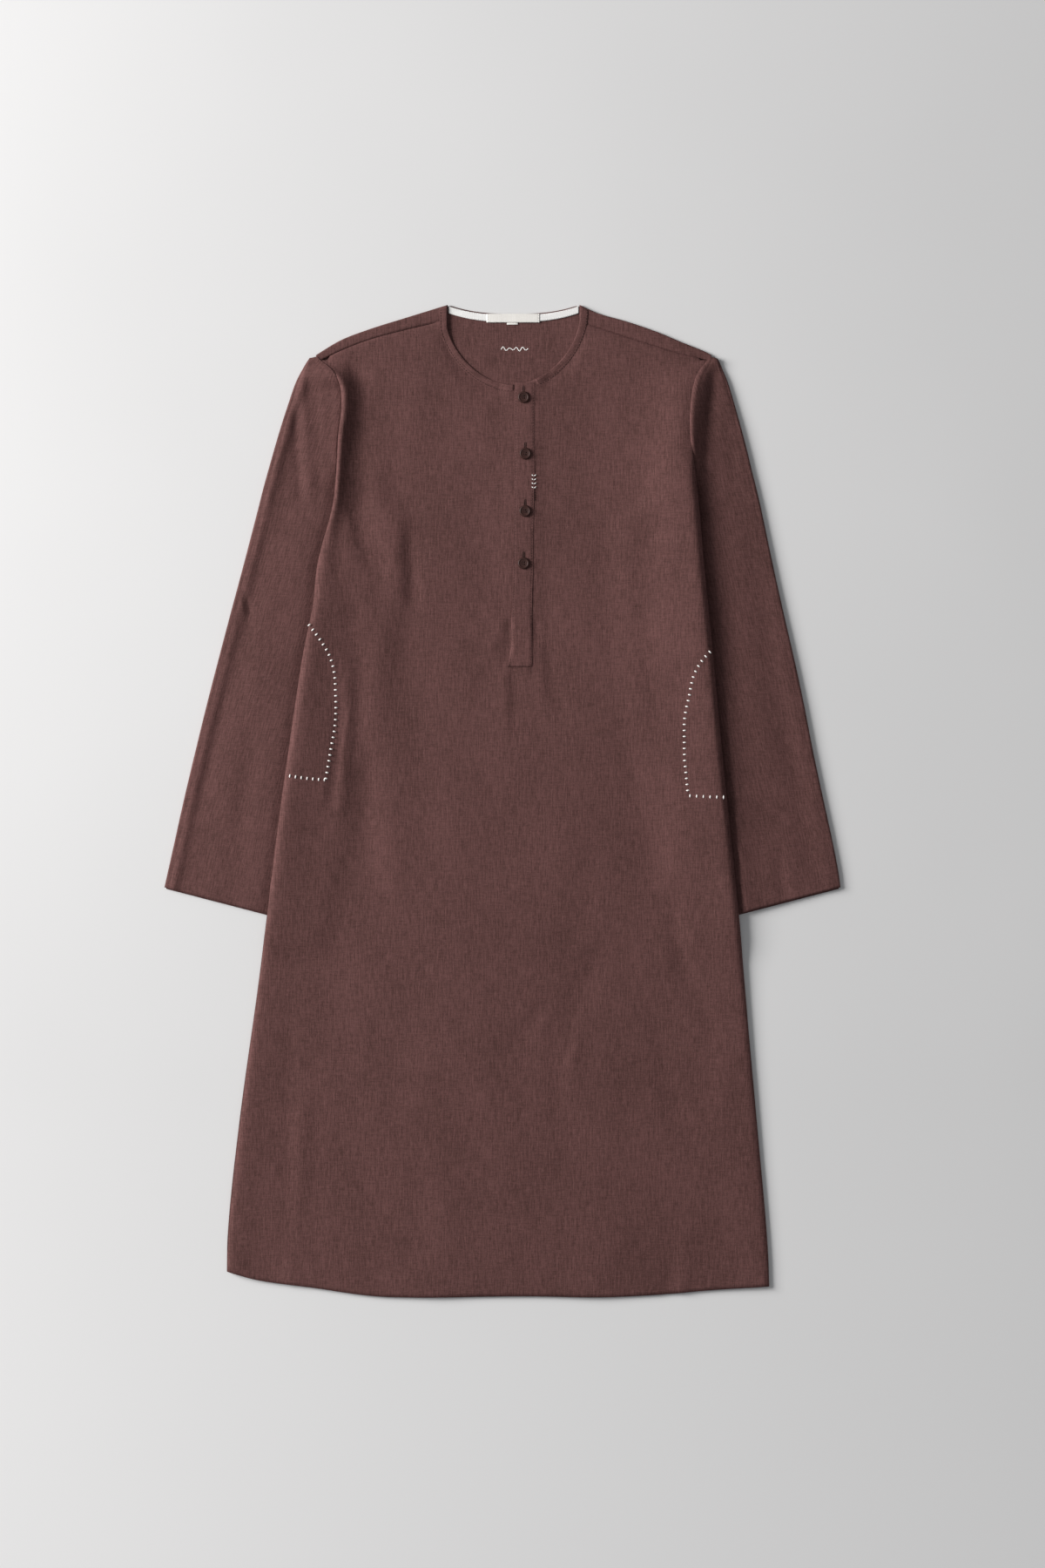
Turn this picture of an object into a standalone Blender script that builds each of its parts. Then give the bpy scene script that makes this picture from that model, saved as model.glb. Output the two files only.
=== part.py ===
"""A long-sleeved kurta tunic, laid flat on its back, face up.

The frame is the garment's own: +X to the viewer's right, +Y to the neck, +Z up, with the origin on the surface
it lies on, under the middle of its outline. Sizes are in millimetres until add_sheet scales them to metres.
Every cloth piece is a surface through the middle of its wall, which a Solidify modifier gives its thickness.
"""

import math
from collections import namedtuple

import bmesh
import bpy

MM = 0.001
CLOTH = 1.0  # wall of a cloth piece
GAP = 0.3  # air between pieces
LAYER = CLOTH + GAP  # from the middle of one layer to the middle of the next
SEAM = 0.4  # air across a seam, so that tilted edges stay clear
SIDE_SEAM = 1.1  # the same at the rolled side seams, whose edges tilt more

CENTRE_X = 23.5  # the slit, on the panels' own centre line
UNDERARM_Y = 318.0
LOFT = 1.3  # spare height between the panels, which holds the under placket
POCKET_LOFT = 1.6  # more of it over the pockets
ROLL = 8.0  # width of the rolled side edges
SEAM_SHARE = 0.4  # height of the side seam on its roll

NECK_X = 11.0
NECK_Y = 519.0
NECK_HALF_WIDTH = 72.0
NECK_DEPTH = 75.0
NECK_POWER = 1.8  # 2 would be an ellipse
NECK_POINTS = (-58.1, 82.1)  # where the neck meets the shoulder folds
BINDING_WIDTH = 8.0

PLACKET_HALF_TOP = 10.75
UNDER_INSET = 1.0  # how much narrower the under placket is on each side
SLIT_WIDTH = 2.0
SLIT_BOTTOM = 160.0

BUTTON_RADIUS = 5.75
BUTTON_THICKNESS = 2.4
BUTTON_SIDES = 11

TAPE_WIDTH = 7.8
LABEL_SIZE = (57.0, 9.2)
LABEL_AT = (11.5, 515.2)
TAB_SIZE = (11.6, 5.0)
TAB_AT = (10.5, 508.2)

ButtonRow = namedtuple("ButtonRow", "x y")
BUTTON_ROWS = (
    ButtonRow(22.6, 430.4),
    ButtonRow(24.4, 370.3),
    ButtonRow(24.2, 309.1),
    ButtonRow(22.6, 253.4),
)

PlacketRow = namedtuple("PlacketRow", "y left right")
PLACKET_ROWS = (  # the band leans to the left as it goes down, and spreads at its foot
    PlacketRow(143, 5.6, 31.3),
    PlacketRow(165, 9.2, 32.2),
    PlacketRow(197, 9.9, 31.4),
    PlacketRow(250, 11.0, 32.4),
    PlacketRow(350, 12.5, 33.9),
    PlacketRow(400, 12.7, 34.1),
    PlacketRow(446, 12.75, 34.25),
)

BodyRow = namedtuple("BodyRow", "y left right loft_left loft_right")
BODY_ROWS = (  # the side edges, and how far each stands above its layer
    BodyRow(-532, -294.6, 285.3, 2.0, 2.4),
    BodyRow(-487, -293.7, 283.6, 2.4, 2.8),
    BodyRow(-354, -281.2, 272.5, 2.8, 3.2),
    BodyRow(-200, -261.0, 258.8, 3.2, 4.6),
    BodyRow(-110, -249.7, 251.1, 4.0, 6.6),
    BodyRow(-30, -239.7, 242.7, 5.0, 8.4),
    BodyRow(52, -228.3, 234.2, 5.5, 9.0),
    BodyRow(160, -212.0, 224.3, 5.5, 9.6),
    BodyRow(204, -203.0, 219.8, 5.5, 9.8),
    BodyRow(255, -196.8, 214.7, 5.0, 9.8),
    BodyRow(318, -180.5, 209.2, 4.5, 9.6),
    BodyRow(345, -177.6, 206.0, 4.2, 9.0),
    BodyRow(390, -175.4, 200.3, 3.6, 7.8),
    BodyRow(422, -172.1, 201.2, 2.4, 6.4),
    BodyRow(445, -174.5, 204.9, 1.2, 4.0),
    BodyRow(460, -182.8, 210.8, 0.4, 1.6),
    BodyRow(470, -195.0, 219.5, 0.0, 0.0),
    BodyRow(474, -199.0, 223.0, 0.0, 0.0),
)

HemRow = namedtuple("HemRow", "share y")
HEM_ROWS = (  # the hem's curve, by its share of the width
    HemRow(0.0, -501.7),
    HemRow(0.055, -510.8),
    HemRow(0.154, -518.9),
    HemRow(0.27, -528.2),
    HemRow(0.33, -529.6),
    HemRow(0.55, -528.4),
    HemRow(0.69, -529.4),
    HemRow(0.79, -527.0),
    HemRow(0.89, -522.0),
    HemRow(1.0, -517.8),
)

ShoulderRow = namedtuple("ShoulderRow", "x fold seam")
LEFT_SHOULDER = (  # the fold along the top of the shoulder, and the seam in front of it
    ShoulderRow(-206.0, 471.5, 466.0),
    ShoulderRow(-199.0, 475.8, 468.6),
    ShoulderRow(-195.0, 478.4, 470.2),
    ShoulderRow(-173.1, 491.5, 480.6),
    ShoulderRow(-143.8, 502.9, 491.9),
    ShoulderRow(-103.2, 515.7, 503.1),
    ShoulderRow(-58.1, 529.6, 513.2),
)
RIGHT_SHOULDER = (
    ShoulderRow(82.1, 529.6, 511.8),
    ShoulderRow(101.4, 520.8, 505.8),
    ShoulderRow(131.1, 512.2, 495.8),
    ShoulderRow(165.4, 500.5, 485.2),
    ShoulderRow(190.9, 489.8, 477.2),
    ShoulderRow(219.5, 477.9, 470.2),
    ShoulderRow(223.0, 475.8, 469.0),
    ShoulderRow(230.0, 470.0, 467.0),
)

SleeveRow = namedtuple("SleeveRow", "outer_x outer_y inner_y tuck half_fold")
LEFT_SLEEVE = (  # tuck is how far the inner edge passes under the body
    SleeveRow(-206.0, 472.6, 474.0, 0.0, 1.3),
    SleeveRow(-208.8, 468.6, 470.0, 0.0, 1.3),
    SleeveRow(-213.5, 460.6, 460.0, 0.0, 1.4),
    SleeveRow(-220.5, 447.0, 445.0, 0.0, 1.6),
    SleeveRow(-229.3, 421.8, 422.0, 0.0, 1.8),
    SleeveRow(-236.8, 398.5, 398.0, 0.0, 2.0),
    SleeveRow(-244.3, 373.0, 372.0, 0.0, 2.0),
    SleeveRow(-250.8, 350.0, 350.0, 0.0, 2.0),
    SleeveRow(-255.5, 333.0, 333.0, 0.0, 2.0),
    SleeveRow(-259.5, 317.0, 318.0, 0.0, 2.0),
    SleeveRow(-264.9, 296.0, 296.0, 46.0, 2.0),
    SleeveRow(-277.4, 248.0, 248.0, 52.0, 2.0),
    SleeveRow(-290.3, 200.0, 200.0, 55.0, 2.0),
    SleeveRow(-303.2, 151.0, 149.0, 54.0, 2.0),
    SleeveRow(-315.6, 103.0, 98.0, 51.0, 2.0),
    SleeveRow(-327.6, 54.0, 49.0, 46.0, 2.0),
    SleeveRow(-339.6, 3.5, -2.0, 40.5, 1.9),
    SleeveRow(-350.0, -43.2, -62.0, 33.0, 1.8),
    SleeveRow(-357.3, -76.0, -107.0, 28.0, 1.7),
    SleeveRow(-361.0, -92.3, -127.0, 25.7, 1.6),
)
RIGHT_SLEEVE = (
    SleeveRow(229.8, 472.0, 474.0, 0.0, 1.3),
    SleeveRow(231.8, 468.4, 470.0, 0.0, 1.3),
    SleeveRow(235.0, 460.4, 460.0, 0.0, 1.4),
    SleeveRow(240.6, 447.0, 445.0, 0.0, 1.6),
    SleeveRow(248.2, 421.8, 422.0, 0.0, 1.8),
    SleeveRow(254.8, 398.0, 398.0, 0.0, 2.0),
    SleeveRow(261.4, 373.0, 372.0, 0.0, 2.0),
    SleeveRow(266.9, 350.0, 350.0, 0.0, 2.0),
    SleeveRow(271.2, 333.0, 333.0, 0.0, 2.0),
    SleeveRow(275.0, 317.0, 318.0, 0.0, 2.0),
    SleeveRow(279.5, 296.0, 296.0, 46.0, 2.0),
    SleeveRow(289.6, 248.0, 248.0, 52.0, 2.0),
    SleeveRow(300.3, 200.0, 200.0, 55.0, 2.0),
    SleeveRow(311.6, 151.0, 149.0, 54.0, 2.0),
    SleeveRow(321.9, 103.0, 98.0, 51.0, 2.0),
    SleeveRow(331.4, 54.0, 49.0, 46.0, 2.0),
    SleeveRow(342.2, 3.5, -2.0, 40.5, 1.9),
    SleeveRow(352.4, -43.2, -62.0, 33.0, 1.8),
    SleeveRow(358.7, -76.0, -107.0, 28.0, 1.7),
    SleeveRow(361.0, -92.3, -127.0, 25.7, 1.6),
)

PocketRow = namedtuple("PocketRow", "y left right")
POCKET_ROWS = (  # how far the curved side of each bag reaches
    PocketRow(196, -190.0, None),
    PocketRow(180, -184.0, None),
    PocketRow(160, -174.0, 200.0),
    PocketRow(140, -170.0, 192.0),
    PocketRow(115, -168.5, 187.0),
    PocketRow(90, -168.5, 185.0),
    PocketRow(60, -171.5, 185.0),
    PocketRow(36, -176.0, 186.5),
    PocketRow(16, -180.0, 189.0),
    PocketRow(0, None, 192.0),
)
POCKET_INSET = 11.0  # from the side edge, clear of its roll
POCKET_DROP = 0.8  # how much further than touching it lies under the front

FoldRow = namedtuple("FoldRow", "x0 y0 x1 y1 width height")
FRONT_FOLDS = (  # soft ridges (up) and troughs (down) along straight lines
    FoldRow(-173, 436, -177, 345, 9, 5.2),
    FoldRow(-154, 462, -152, 330, 13, -0.8),
    FoldRow(-136, 300, -132, 262, 11, -0.7),
    FoldRow(-99, 262, -96, 230, 10, -0.6),
    FoldRow(-118, 290, -116, 240, 12, 1.2),
    FoldRow(-158, 190, -150, 40, 13, -0.8),
    FoldRow(-150, 40, -140, -80, 14, -0.7),
    FoldRow(-128, 160, -118, -60, 22, 1.4),
    FoldRow(186, 380, 170, 250, 18, 0.9),
    FoldRow(100, 130, 60, -60, 40, 0.8),
    FoldRow(-60, -60, -30, -260, 46, 0.8),
    FoldRow(130, -140, 160, -280, 30, -0.6),
    FoldRow(-215, -330, -222, -500, 12, 1.2),
    FoldRow(196, -470, 190, -526, 10, 0.8),
    FoldRow(-60, -440, -70, -526, 30, 0.8),
    FoldRow(110, -380, 100, -526, 34, 0.8),
)

# --- tables and curves ---


def smooth_step(value):
    """0 below 0, 1 above 1, and a soft S between."""
    share = min(max(value, 0.0), 1.0)
    return share * share * (3.0 - 2.0 * share)


def mix(low, high, share):
    return low + (high - low) * share


def along(rows, key, column, at):
    """A table's column between its rows, on a smooth curve through them."""
    places = [getattr(row, key) for row in rows]
    values = [getattr(row, column) for row in rows]
    at = min(max(at, places[0]), places[-1])
    last = len(rows) - 2
    i = min(sum(place <= at for place in places[1:]), last)
    slopes = [(values[k + 1] - values[k]) / (places[k + 1] - places[k]) for k in range(last + 1)]
    span = places[i + 1] - places[i]
    start = slopes[i] if i == 0 else (slopes[i - 1] + slopes[i]) / 2
    end = slopes[i] if i == last else (slopes[i] + slopes[i + 1]) / 2
    t = (at - places[i]) / span
    return (
        values[i] * (1 + 2 * t) * (1 - t) ** 2
        + values[i + 1] * t * t * (3 - 2 * t)
        + span * (start * t * (1 - t) ** 2 + end * t * t * (t - 1))
    )


def body_edge(side, y):
    return along(BODY_ROWS, "y", "left" if side < 0 else "right", y)


def edge_loft(side, y):
    return along(BODY_ROWS, "y", "loft_left" if side < 0 else "loft_right", y)


def hem_y(x):
    left = body_edge(-1, BODY_ROWS[0].y)
    right = body_edge(1, BODY_ROWS[0].y)
    return along(HEM_ROWS, "share", "y", (x - left) / (right - left))


def neck_place(angle):
    """A point of the front neckline: 0 at its left end, 90 degrees at the lowest point, 180 at its right end."""
    reach = 2.0 / NECK_POWER
    across = math.copysign(abs(math.cos(angle)) ** reach, math.cos(angle))
    return NECK_X - NECK_HALF_WIDTH * across, NECK_Y - NECK_DEPTH * math.sin(angle) ** reach


def neckline_y(x):
    share = min(abs(x - NECK_X) / NECK_HALF_WIDTH, 1.0)
    return NECK_Y - NECK_DEPTH * (1.0 - share**NECK_POWER) ** (1.0 / NECK_POWER)


def back_neck_y(x):
    """The back neck edge: a shallow dip between the two neck points."""
    left, right = NECK_POINTS
    share = min(max((x - left) / (right - left), 0.0), 1.0)
    return 520.0 + 9.6 * abs(2.0 * share - 1.0) ** 2.6


def shoulder(x, column):
    rows = LEFT_SHOULDER if x < NECK_X else RIGHT_SHOULDER
    return along(rows, "x", column, x)


# --- heights of the layers' middles ---


def over_sleeve(x, y):
    """1 where the back lies on a hidden sleeve, 0 where it lies on the surface."""
    side = -1 if x < CENTRE_X else 1
    rows = LEFT_SLEEVE if side < 0 else RIGHT_SLEEVE
    hidden = tuple(row for row in reversed(rows) if row.tuck)
    tuck = along(hidden, "inner_y", "tuck", y)
    inside = side * (body_edge(side, y) - x) - tuck
    across = 1.0 - smooth_step((inside - 24.0) / 34.0)
    above = 1.0 - smooth_step((y - 338.0) / 44.0)
    below = smooth_step((y + 176.0) / 34.0)
    return across * above * below


def back_height(x, y):
    return CLOTH / 2 + 2 * LAYER * over_sleeve(x, y)


def fold_height(row, x, y):
    """One ridge or trough: a rounded hump across its line, fading out past its two ends."""
    run_x, run_y = row.x1 - row.x0, row.y1 - row.y0
    length = math.hypot(run_x, run_y)
    share = ((x - row.x0) * run_x + (y - row.y0) * run_y) / length**2
    away = abs((x - row.x0) * run_y - (y - row.y0) * run_x) / length
    past = max(-share, share - 1.0, 0.0) * length
    return row.height * math.exp(-((away / row.width) ** 2) - (past / (1.6 * row.width)) ** 2)


def pocket_loft(x, y):
    side = -1 if x < CENTRE_X else 1
    inside = side * (body_edge(side, y) - x)
    middle = 108.0 if side < 0 else 86.0
    across = 1.0 - smooth_step((inside - 48.0) / 26.0)
    return POCKET_LOFT * across * (1.0 - smooth_step((abs(y - middle) - 96.0) / 60.0))


def front_loft(x, y):
    """Height of the front over the back, past the least that the two walls need."""
    side = -1 if x < CENTRE_X else 1
    inside = max(side * (body_edge(side, y) - x) - ROLL, 0.0)
    roll = max(edge_loft(side, y), 0.0) * math.exp(-((inside / 26.0) ** 1.5))
    folds = sum(fold_height(row, x, y) for row in FRONT_FOLDS)
    calm = smooth_step((abs(x - CENTRE_X) - 18.0) / 22.0) if y > 110.0 else 1.0
    calm *= smooth_step((NECK_Y - 20.0 - y) / 60.0) if y > 380.0 else 1.0
    return LOFT + roll + pocket_loft(x, y) + folds * calm


def front_height(x, y):
    return back_height(x, y) + LAYER + front_loft(x, y)


def flat_front_height():
    """The front's height down its middle, where no fold reaches."""
    return CLOTH / 2 + LAYER + LOFT


def rolled(y):
    """0 where the panel's edge is sewn to the sleeve, 1 where it rolls down to the side seam."""
    return 1.0 - smooth_step((y - 320.0) / 26.0)


def side_seam_height(side, y):
    x = body_edge(side, y) - side * ROLL
    return mix(back_height(x, y), front_height(x, y), SEAM_SHARE)


def edge_height(side, y, x, height, toward):
    """Height of a panel that rolls over to the side seam in its last few millimetres."""
    inside = side * (body_edge(side, y) - x) - CLOTH / 2
    share = min(max(inside / (ROLL - CLOTH / 2), 0.0), 1.0)
    seam = side_seam_height(side, y) + toward * SIDE_SEAM / 2
    rounded = mix(seam, height, math.sqrt(1.0 - (1.0 - share) ** 2))
    return mix(height, rounded, rolled(y))


# --- the panels' grid, which front and back share ---

EDGE_ANGLES = (0.0, 30.0, 60.0, 90.0)  # around the rolled edge
SHOULDER_SHARES = (0.2, 0.42, 0.62, 0.82)  # between the roll and the neck
NECK_ANGLES = (4.0, 20.0, 35.0, 50.0, 64.0, 76.0, 86.5, 104.0, 118.0, 132.0, 146.0, 160.0, 176.0)
LOWER_ROWS = 15
ARMHOLE_HEIGHTS = (333.0, 350.0, 372.0, 398.0, 422.0, 445.0, 460.0, 470.0)  # the sleeves' rows match them
FOLD_END_Y = 474.0  # where the armhole seam meets the shoulder fold
TOP_Y = ARMHOLE_HEIGHTS[-1]


def top_columns():
    """Each column as (side, roll angle) on a rolled edge, or (None, x at the top) between them."""
    left = body_edge(-1, TOP_Y) + ROLL
    right = body_edge(1, TOP_Y) - ROLL
    neck = [neck_place(math.radians(angle))[0] for angle in NECK_ANGLES]
    columns = [(-1, angle) for angle in EDGE_ANGLES]
    columns += [(None, mix(left, neck[0], share)) for share in SHOULDER_SHARES]
    columns += [(None, x) for x in neck]
    columns += [(None, mix(neck[-1], right, 1.0 - share)) for share in reversed(SHOULDER_SHARES)]
    columns += [(1, angle) for angle in reversed(EDGE_ANGLES)]
    return columns


def column_x(column, y):
    side, value = column
    if side is not None:
        inset = mix(SEAM / 2, CLOTH / 2, rolled(y))
        return body_edge(side, y) - side * mix(inset, ROLL, 1.0 - math.cos(math.radians(value)))
    side = -1 if value < CENTRE_X else 1
    top_half = body_edge(side, TOP_Y) - side * ROLL - CENTRE_X
    share = (value - CENTRE_X) / top_half
    edge_half = body_edge(side, y) - side * ROLL - CENTRE_X
    if y > UNDERARM_Y:
        low_half = body_edge(side, UNDERARM_Y) - side * ROLL - CENTRE_X
        straight = mix(low_half, top_half, (y - UNDERARM_Y) / (TOP_Y - UNDERARM_Y))
        edge_half = mix(straight, edge_half, share * share)
    return CENTRE_X + share * edge_half


def panel_rows(columns, edge_heights, top_of):
    """The grid's (x, y) places, row by row from the hem up. top_of gives a column's upper end."""
    rows = []
    for i in range(LOWER_ROWS + 1):
        share = i / LOWER_ROWS
        base = mix(HEM_ROWS[4].y, UNDERARM_Y, share)
        row = []
        for column in columns:
            x = column_x(column, base)
            y = base + (hem_y(x) - HEM_ROWS[4].y) * (1.0 - share) ** 3
            row.append((x, y))
        rows.append(row)
    for edge_y in edge_heights:
        share = (edge_y - UNDERARM_Y) / (edge_heights[-1] - UNDERARM_Y)
        row = []
        for column in columns:
            x = column_x(column, edge_y)
            sewn = column[0] is not None
            row.append((x, edge_y if sewn else mix(UNDERARM_Y, top_of(x), share)))
        rows.append(row)
    return rows


def front_top(x):
    if NECK_X - NECK_HALF_WIDTH * 0.99 < x < NECK_X + NECK_HALF_WIDTH * 0.99:
        return neckline_y(x)
    return shoulder(x, "seam") - SEAM / 2


def back_top(x):
    left, right = NECK_POINTS
    if left < x < right:
        return back_neck_y(x)
    return shoulder(x, "fold") - shoulder_fold_radius() - CLOTH / 2


def shoulder_fold_radius():
    return (LAYER + LOFT) / 2


# --- making objects ---


def linear(channel):
    share = channel / 255.0
    return share / 12.92 if share <= 0.04045 else ((share + 0.055) / 1.055) ** 2.4


def make_material(name, colour, roughness):
    material = bpy.data.materials.new(name)
    material.use_nodes = True
    shader = material.node_tree.nodes["Principled BSDF"]
    shader.inputs["Base Color"].default_value = (*(linear(c) for c in colour), 1.0)
    shader.inputs["Roughness"].default_value = roughness
    return material


def add_sheet(name, rows, material, skip=None, wall=CLOTH):
    """A cloth piece from rows of (x, y, z) places in millimetres. skip leaves out the faces it is true for."""
    mesh = bpy.data.meshes.new(name)
    shape = bmesh.new()
    grid = [[shape.verts.new([value * MM for value in place]) for place in row] for row in rows]
    for i in range(len(grid) - 1):
        for j in range(len(grid[i]) - 1):
            if skip and skip(i, j):
                continue
            shape.faces.new((grid[i][j], grid[i][j + 1], grid[i + 1][j + 1], grid[i + 1][j]))
    loose = [vert for vert in shape.verts if not vert.link_faces]
    bmesh.ops.delete(shape, geom=loose, context="VERTS")
    bmesh.ops.recalc_face_normals(shape, faces=shape.faces)
    shape.to_mesh(mesh)
    shape.free()
    mesh.shade_smooth()
    mesh.materials.append(material)
    piece = bpy.data.objects.new(name, mesh)
    bpy.context.collection.objects.link(piece)
    solid = piece.modifiers.new("wall", "SOLIDIFY")
    solid.thickness = wall * MM
    solid.offset = 0.0
    solid.use_even_offset = True
    return piece


def add_strip(name, path, width, height, material, wall=CLOTH):
    """A band along a path of (x, y), to its left by width, with height(x, y) at its middle."""
    rows = []
    for i, (x, y) in enumerate(path):
        before, after = path[max(i - 1, 0)], path[min(i + 1, len(path) - 1)]
        run_x, run_y = after[0] - before[0], after[1] - before[1]
        length = math.hypot(run_x, run_y)
        row = []
        for share in (0.0, 0.5, 1.0):
            place_x = x - run_y / length * width * share
            place_y = y + run_x / length * width * share
            row.append((place_x, place_y, height(place_x, place_y)))
        rows.append(row)
    return add_sheet(name, rows, material, wall=wall)


# --- the pieces ---


def make_front(material):
    columns = top_columns()
    rows = []
    for row in panel_rows(columns, ARMHOLE_HEIGHTS, front_top):
        heights = []
        for (side, _), (x, y) in zip(columns, row):
            height = front_height(x, y)
            heights.append(edge_height(side, y, x, height, 1.0) if side else height)
        rows.append([(x, y, z) for (x, y), z in zip(row, heights)])
    slit_column = len(EDGE_ANGLES) + len(SHOULDER_SHARES) + NECK_ANGLES.index(86.5)
    for row in rows:
        if row[0][1] > SLIT_BOTTOM - 30.0:
            for step, place in enumerate((-SLIT_WIDTH / 2, SLIT_WIDTH / 2)):
                _, y, z = row[slit_column + step]
                row[slit_column + step] = (CENTRE_X + place, y, z)
    slit_row = next(i for i, row in enumerate(rows) if row[slit_column][1] > SLIT_BOTTOM)
    add_sheet("front", rows, material, lambda i, j: j == slit_column and i >= slit_row)
    return rows


def make_back(material):
    columns = top_columns()
    rows = []
    for row in panel_rows(columns, (*ARMHOLE_HEIGHTS, FOLD_END_Y), back_top):
        places = []
        for (side, _), (x, y) in zip(columns, row):
            height = back_height(x, y)
            places.append((x, y, edge_height(side, y, x, height, -1.0) if side else height))
        rows.append(places)
    first_neck = len(EDGE_ANGLES) + len(SHOULDER_SHARES)
    last_neck = first_neck + len(NECK_ANGLES) - 1
    top = rows[-1]
    for column, x in zip((first_neck, last_neck), NECK_POINTS):
        top[column] = (x, shoulder(x, "fold") - shoulder_fold_radius() - CLOTH / 2, top[column][2])
    radius = shoulder_fold_radius()
    for angle in (45.0, 90.0, 135.0, 180.0):
        turn = math.radians(angle)
        ring = [(x, y + radius * math.sin(turn), z + radius * (1 - math.cos(turn))) for x, y, z in top]
        rows.append(ring)
    wrap_row = len(rows) - 5
    seam_places = [column_x(column, TOP_Y) for column in columns]
    rows.append([(x, shoulder(x, "seam") + SEAM / 2, CLOTH / 2 + 2 * radius) for x in seam_places])
    add_sheet("back", rows, material, lambda i, j: i >= wrap_row and first_neck <= j < last_neck)


def sleeve_top_height(side, x, y, outer_x):
    """Height of a sleeve's upper layer: low under the body, raised beyond it, highest just inside its fold."""
    beyond = side * (x - body_edge(side, y))
    plain = CLOTH / 2 + LAYER + 1.5 * smooth_step((beyond - 1.0) / 26.0)
    from_fold = side * (outer_x - x)
    plain += 1.2 * math.exp(-(((from_fold - 7.0) / 8.0) ** 2)) * smooth_step(beyond / 40.0)
    seam = front_height(body_edge(side, y), y)
    sewn = smooth_step((y - 322.0) / 28.0)
    return mix(plain, max(seam, plain), sewn * (1.0 - smooth_step(beyond / 17.0)))


TOP_SHARES = (1.0, 0.84, 0.66, 0.48, 0.32, 0.18, 0.07, 0.0)  # from the inner edge to the fold
BOTTOM_SHARES = (0.0, 0.3, 0.65, 1.0)
FOLD_ANGLES = (45.0, 90.0, 135.0)


def make_sleeve(name, side, table, material):
    rows = []
    for row in table:
        inner_x = body_edge(side, row.inner_y) + side * (SEAM / 2 - row.tuck)
        radius = row.half_fold
        fold_x = row.outer_x - side * (radius + CLOTH / 2)
        fold_top = CLOTH / 2 + 2 * radius
        places = []
        for share in TOP_SHARES:
            x, y = mix(fold_x, inner_x, share), mix(row.outer_y, row.inner_y, share)
            height = sleeve_top_height(side, x, y, row.outer_x)
            places.append((x, y, mix(fold_top, height, smooth_step(share / 0.07))))
        for angle in FOLD_ANGLES:
            turn = math.radians(angle)
            place = (fold_x + side * radius * math.sin(turn), row.outer_y, CLOTH / 2 + radius * (1 + math.cos(turn)))
            places.append(place)
        lift = back_height(body_edge(side, row.inner_y), row.inner_y) - CLOTH / 2
        lift *= smooth_step((row.inner_y - 326.0) / 26.0)
        for share in BOTTOM_SHARES:
            x, y = mix(fold_x, inner_x, share), mix(row.outer_y, row.inner_y, share)
            places.append((x, y, CLOTH / 2 + lift * smooth_step((share - 0.5) / 0.5)))
        rows.append(places)
    add_sheet(name, rows, material)


def placket_edge(column, y):
    return along(PLACKET_ROWS, "y", column, y)


def make_plackets(material):
    z = flat_front_height()
    for name, inset, height in (("placket", 0.0, z + LAYER), ("under_placket", UNDER_INSET, z - LAYER)):
        rows = []
        for row in PLACKET_ROWS:
            left, right = row.left + inset, row.right - inset
            rows.append([(x, row.y - inset, height) for x in (left, (left + right) / 2, right)])
        add_sheet(name, rows, material)


BINDING_STEP = 6.0  # degrees around the neckline
BINDING_TOP = 526.5  # just short of the shoulder fold


def binding_path(side):
    """From the neck point down the neckline to the placket, on the side given."""
    neck_point = NECK_POINTS[0] - 1.0 if side < 0 else NECK_POINTS[1] + 1.0
    stop = CENTRE_X + side * (PLACKET_HALF_TOP + GAP)
    path = [(neck_point, BINDING_TOP), (neck_point, NECK_Y)]
    for step in range(1, int(180.0 / BINDING_STEP)):
        angle = step * BINDING_STEP
        x, y = neck_place(math.radians(angle if side < 0 else 180.0 - angle))
        if side * (neck_point - x) > 0 and side * (x - stop) > 0:
            path.append((x, y))
    path.append((stop, neckline_y(stop)))
    return path


def make_bindings(material):
    """Each runs outside the neck edge."""
    z = flat_front_height() + LAYER
    for name, side in (("left", -1), ("right", 1)):
        add_strip(f"neck_binding_{name}", binding_path(side), side * BINDING_WIDTH, lambda x, y: z, material)


def make_pocket(name, side, column, material):
    rows = []
    for row in reversed(POCKET_ROWS):
        reach = getattr(row, column)
        if reach is None:
            continue
        edge = body_edge(side, row.y) - side * POCKET_INSET
        places = []
        for share in (0.0, 0.34, 0.67, 1.0):
            x = mix(edge, reach, share)
            places.append((x, row.y, front_height(x, row.y) - LAYER - POCKET_DROP))
        rows.append(places)
    add_sheet(name, rows, material)


def make_neck_trims(material):
    z = CLOTH / 2 + LAYER
    ends = (NECK_POINTS[0] + 1.0, NECK_POINTS[1] - 1.0)
    path = [mix(*ends, i / 10) for i in range(11)]
    tape = [[(x, back_neck_y(x) - 0.9 - drop, z) for x in path] for drop in (0.0, TAPE_WIDTH)]
    add_sheet("back_neck_tape", tape, material)
    for name, size, at, height in (
        ("label", LABEL_SIZE, LABEL_AT, z + LAYER),
        ("label_tab", TAB_SIZE, TAB_AT, z),
    ):
        xs = [at[0] + size[0] * (i / 4 - 0.5) for i in range(5)]
        ys = [at[1] + size[1] * share for share in (-0.5, 0.5)]
        add_sheet(name, [[(x, y, height) for x in xs] for y in ys], material)


def button_profile(radius, thickness):
    """Half of the button's section, from the middle of its sunken face to the middle of its back."""
    return (
        (0.0, 0.62 * thickness),
        (0.5 * radius, 0.62 * thickness),
        (0.66 * radius, 0.92 * thickness),
        (0.8 * radius, thickness),
        (0.95 * radius, 0.86 * thickness),
        (radius, 0.55 * thickness),
        (0.9 * radius, 0.15 * thickness),
        (0.7 * radius, 0.0),
        (0.0, 0.0),
    )


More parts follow.
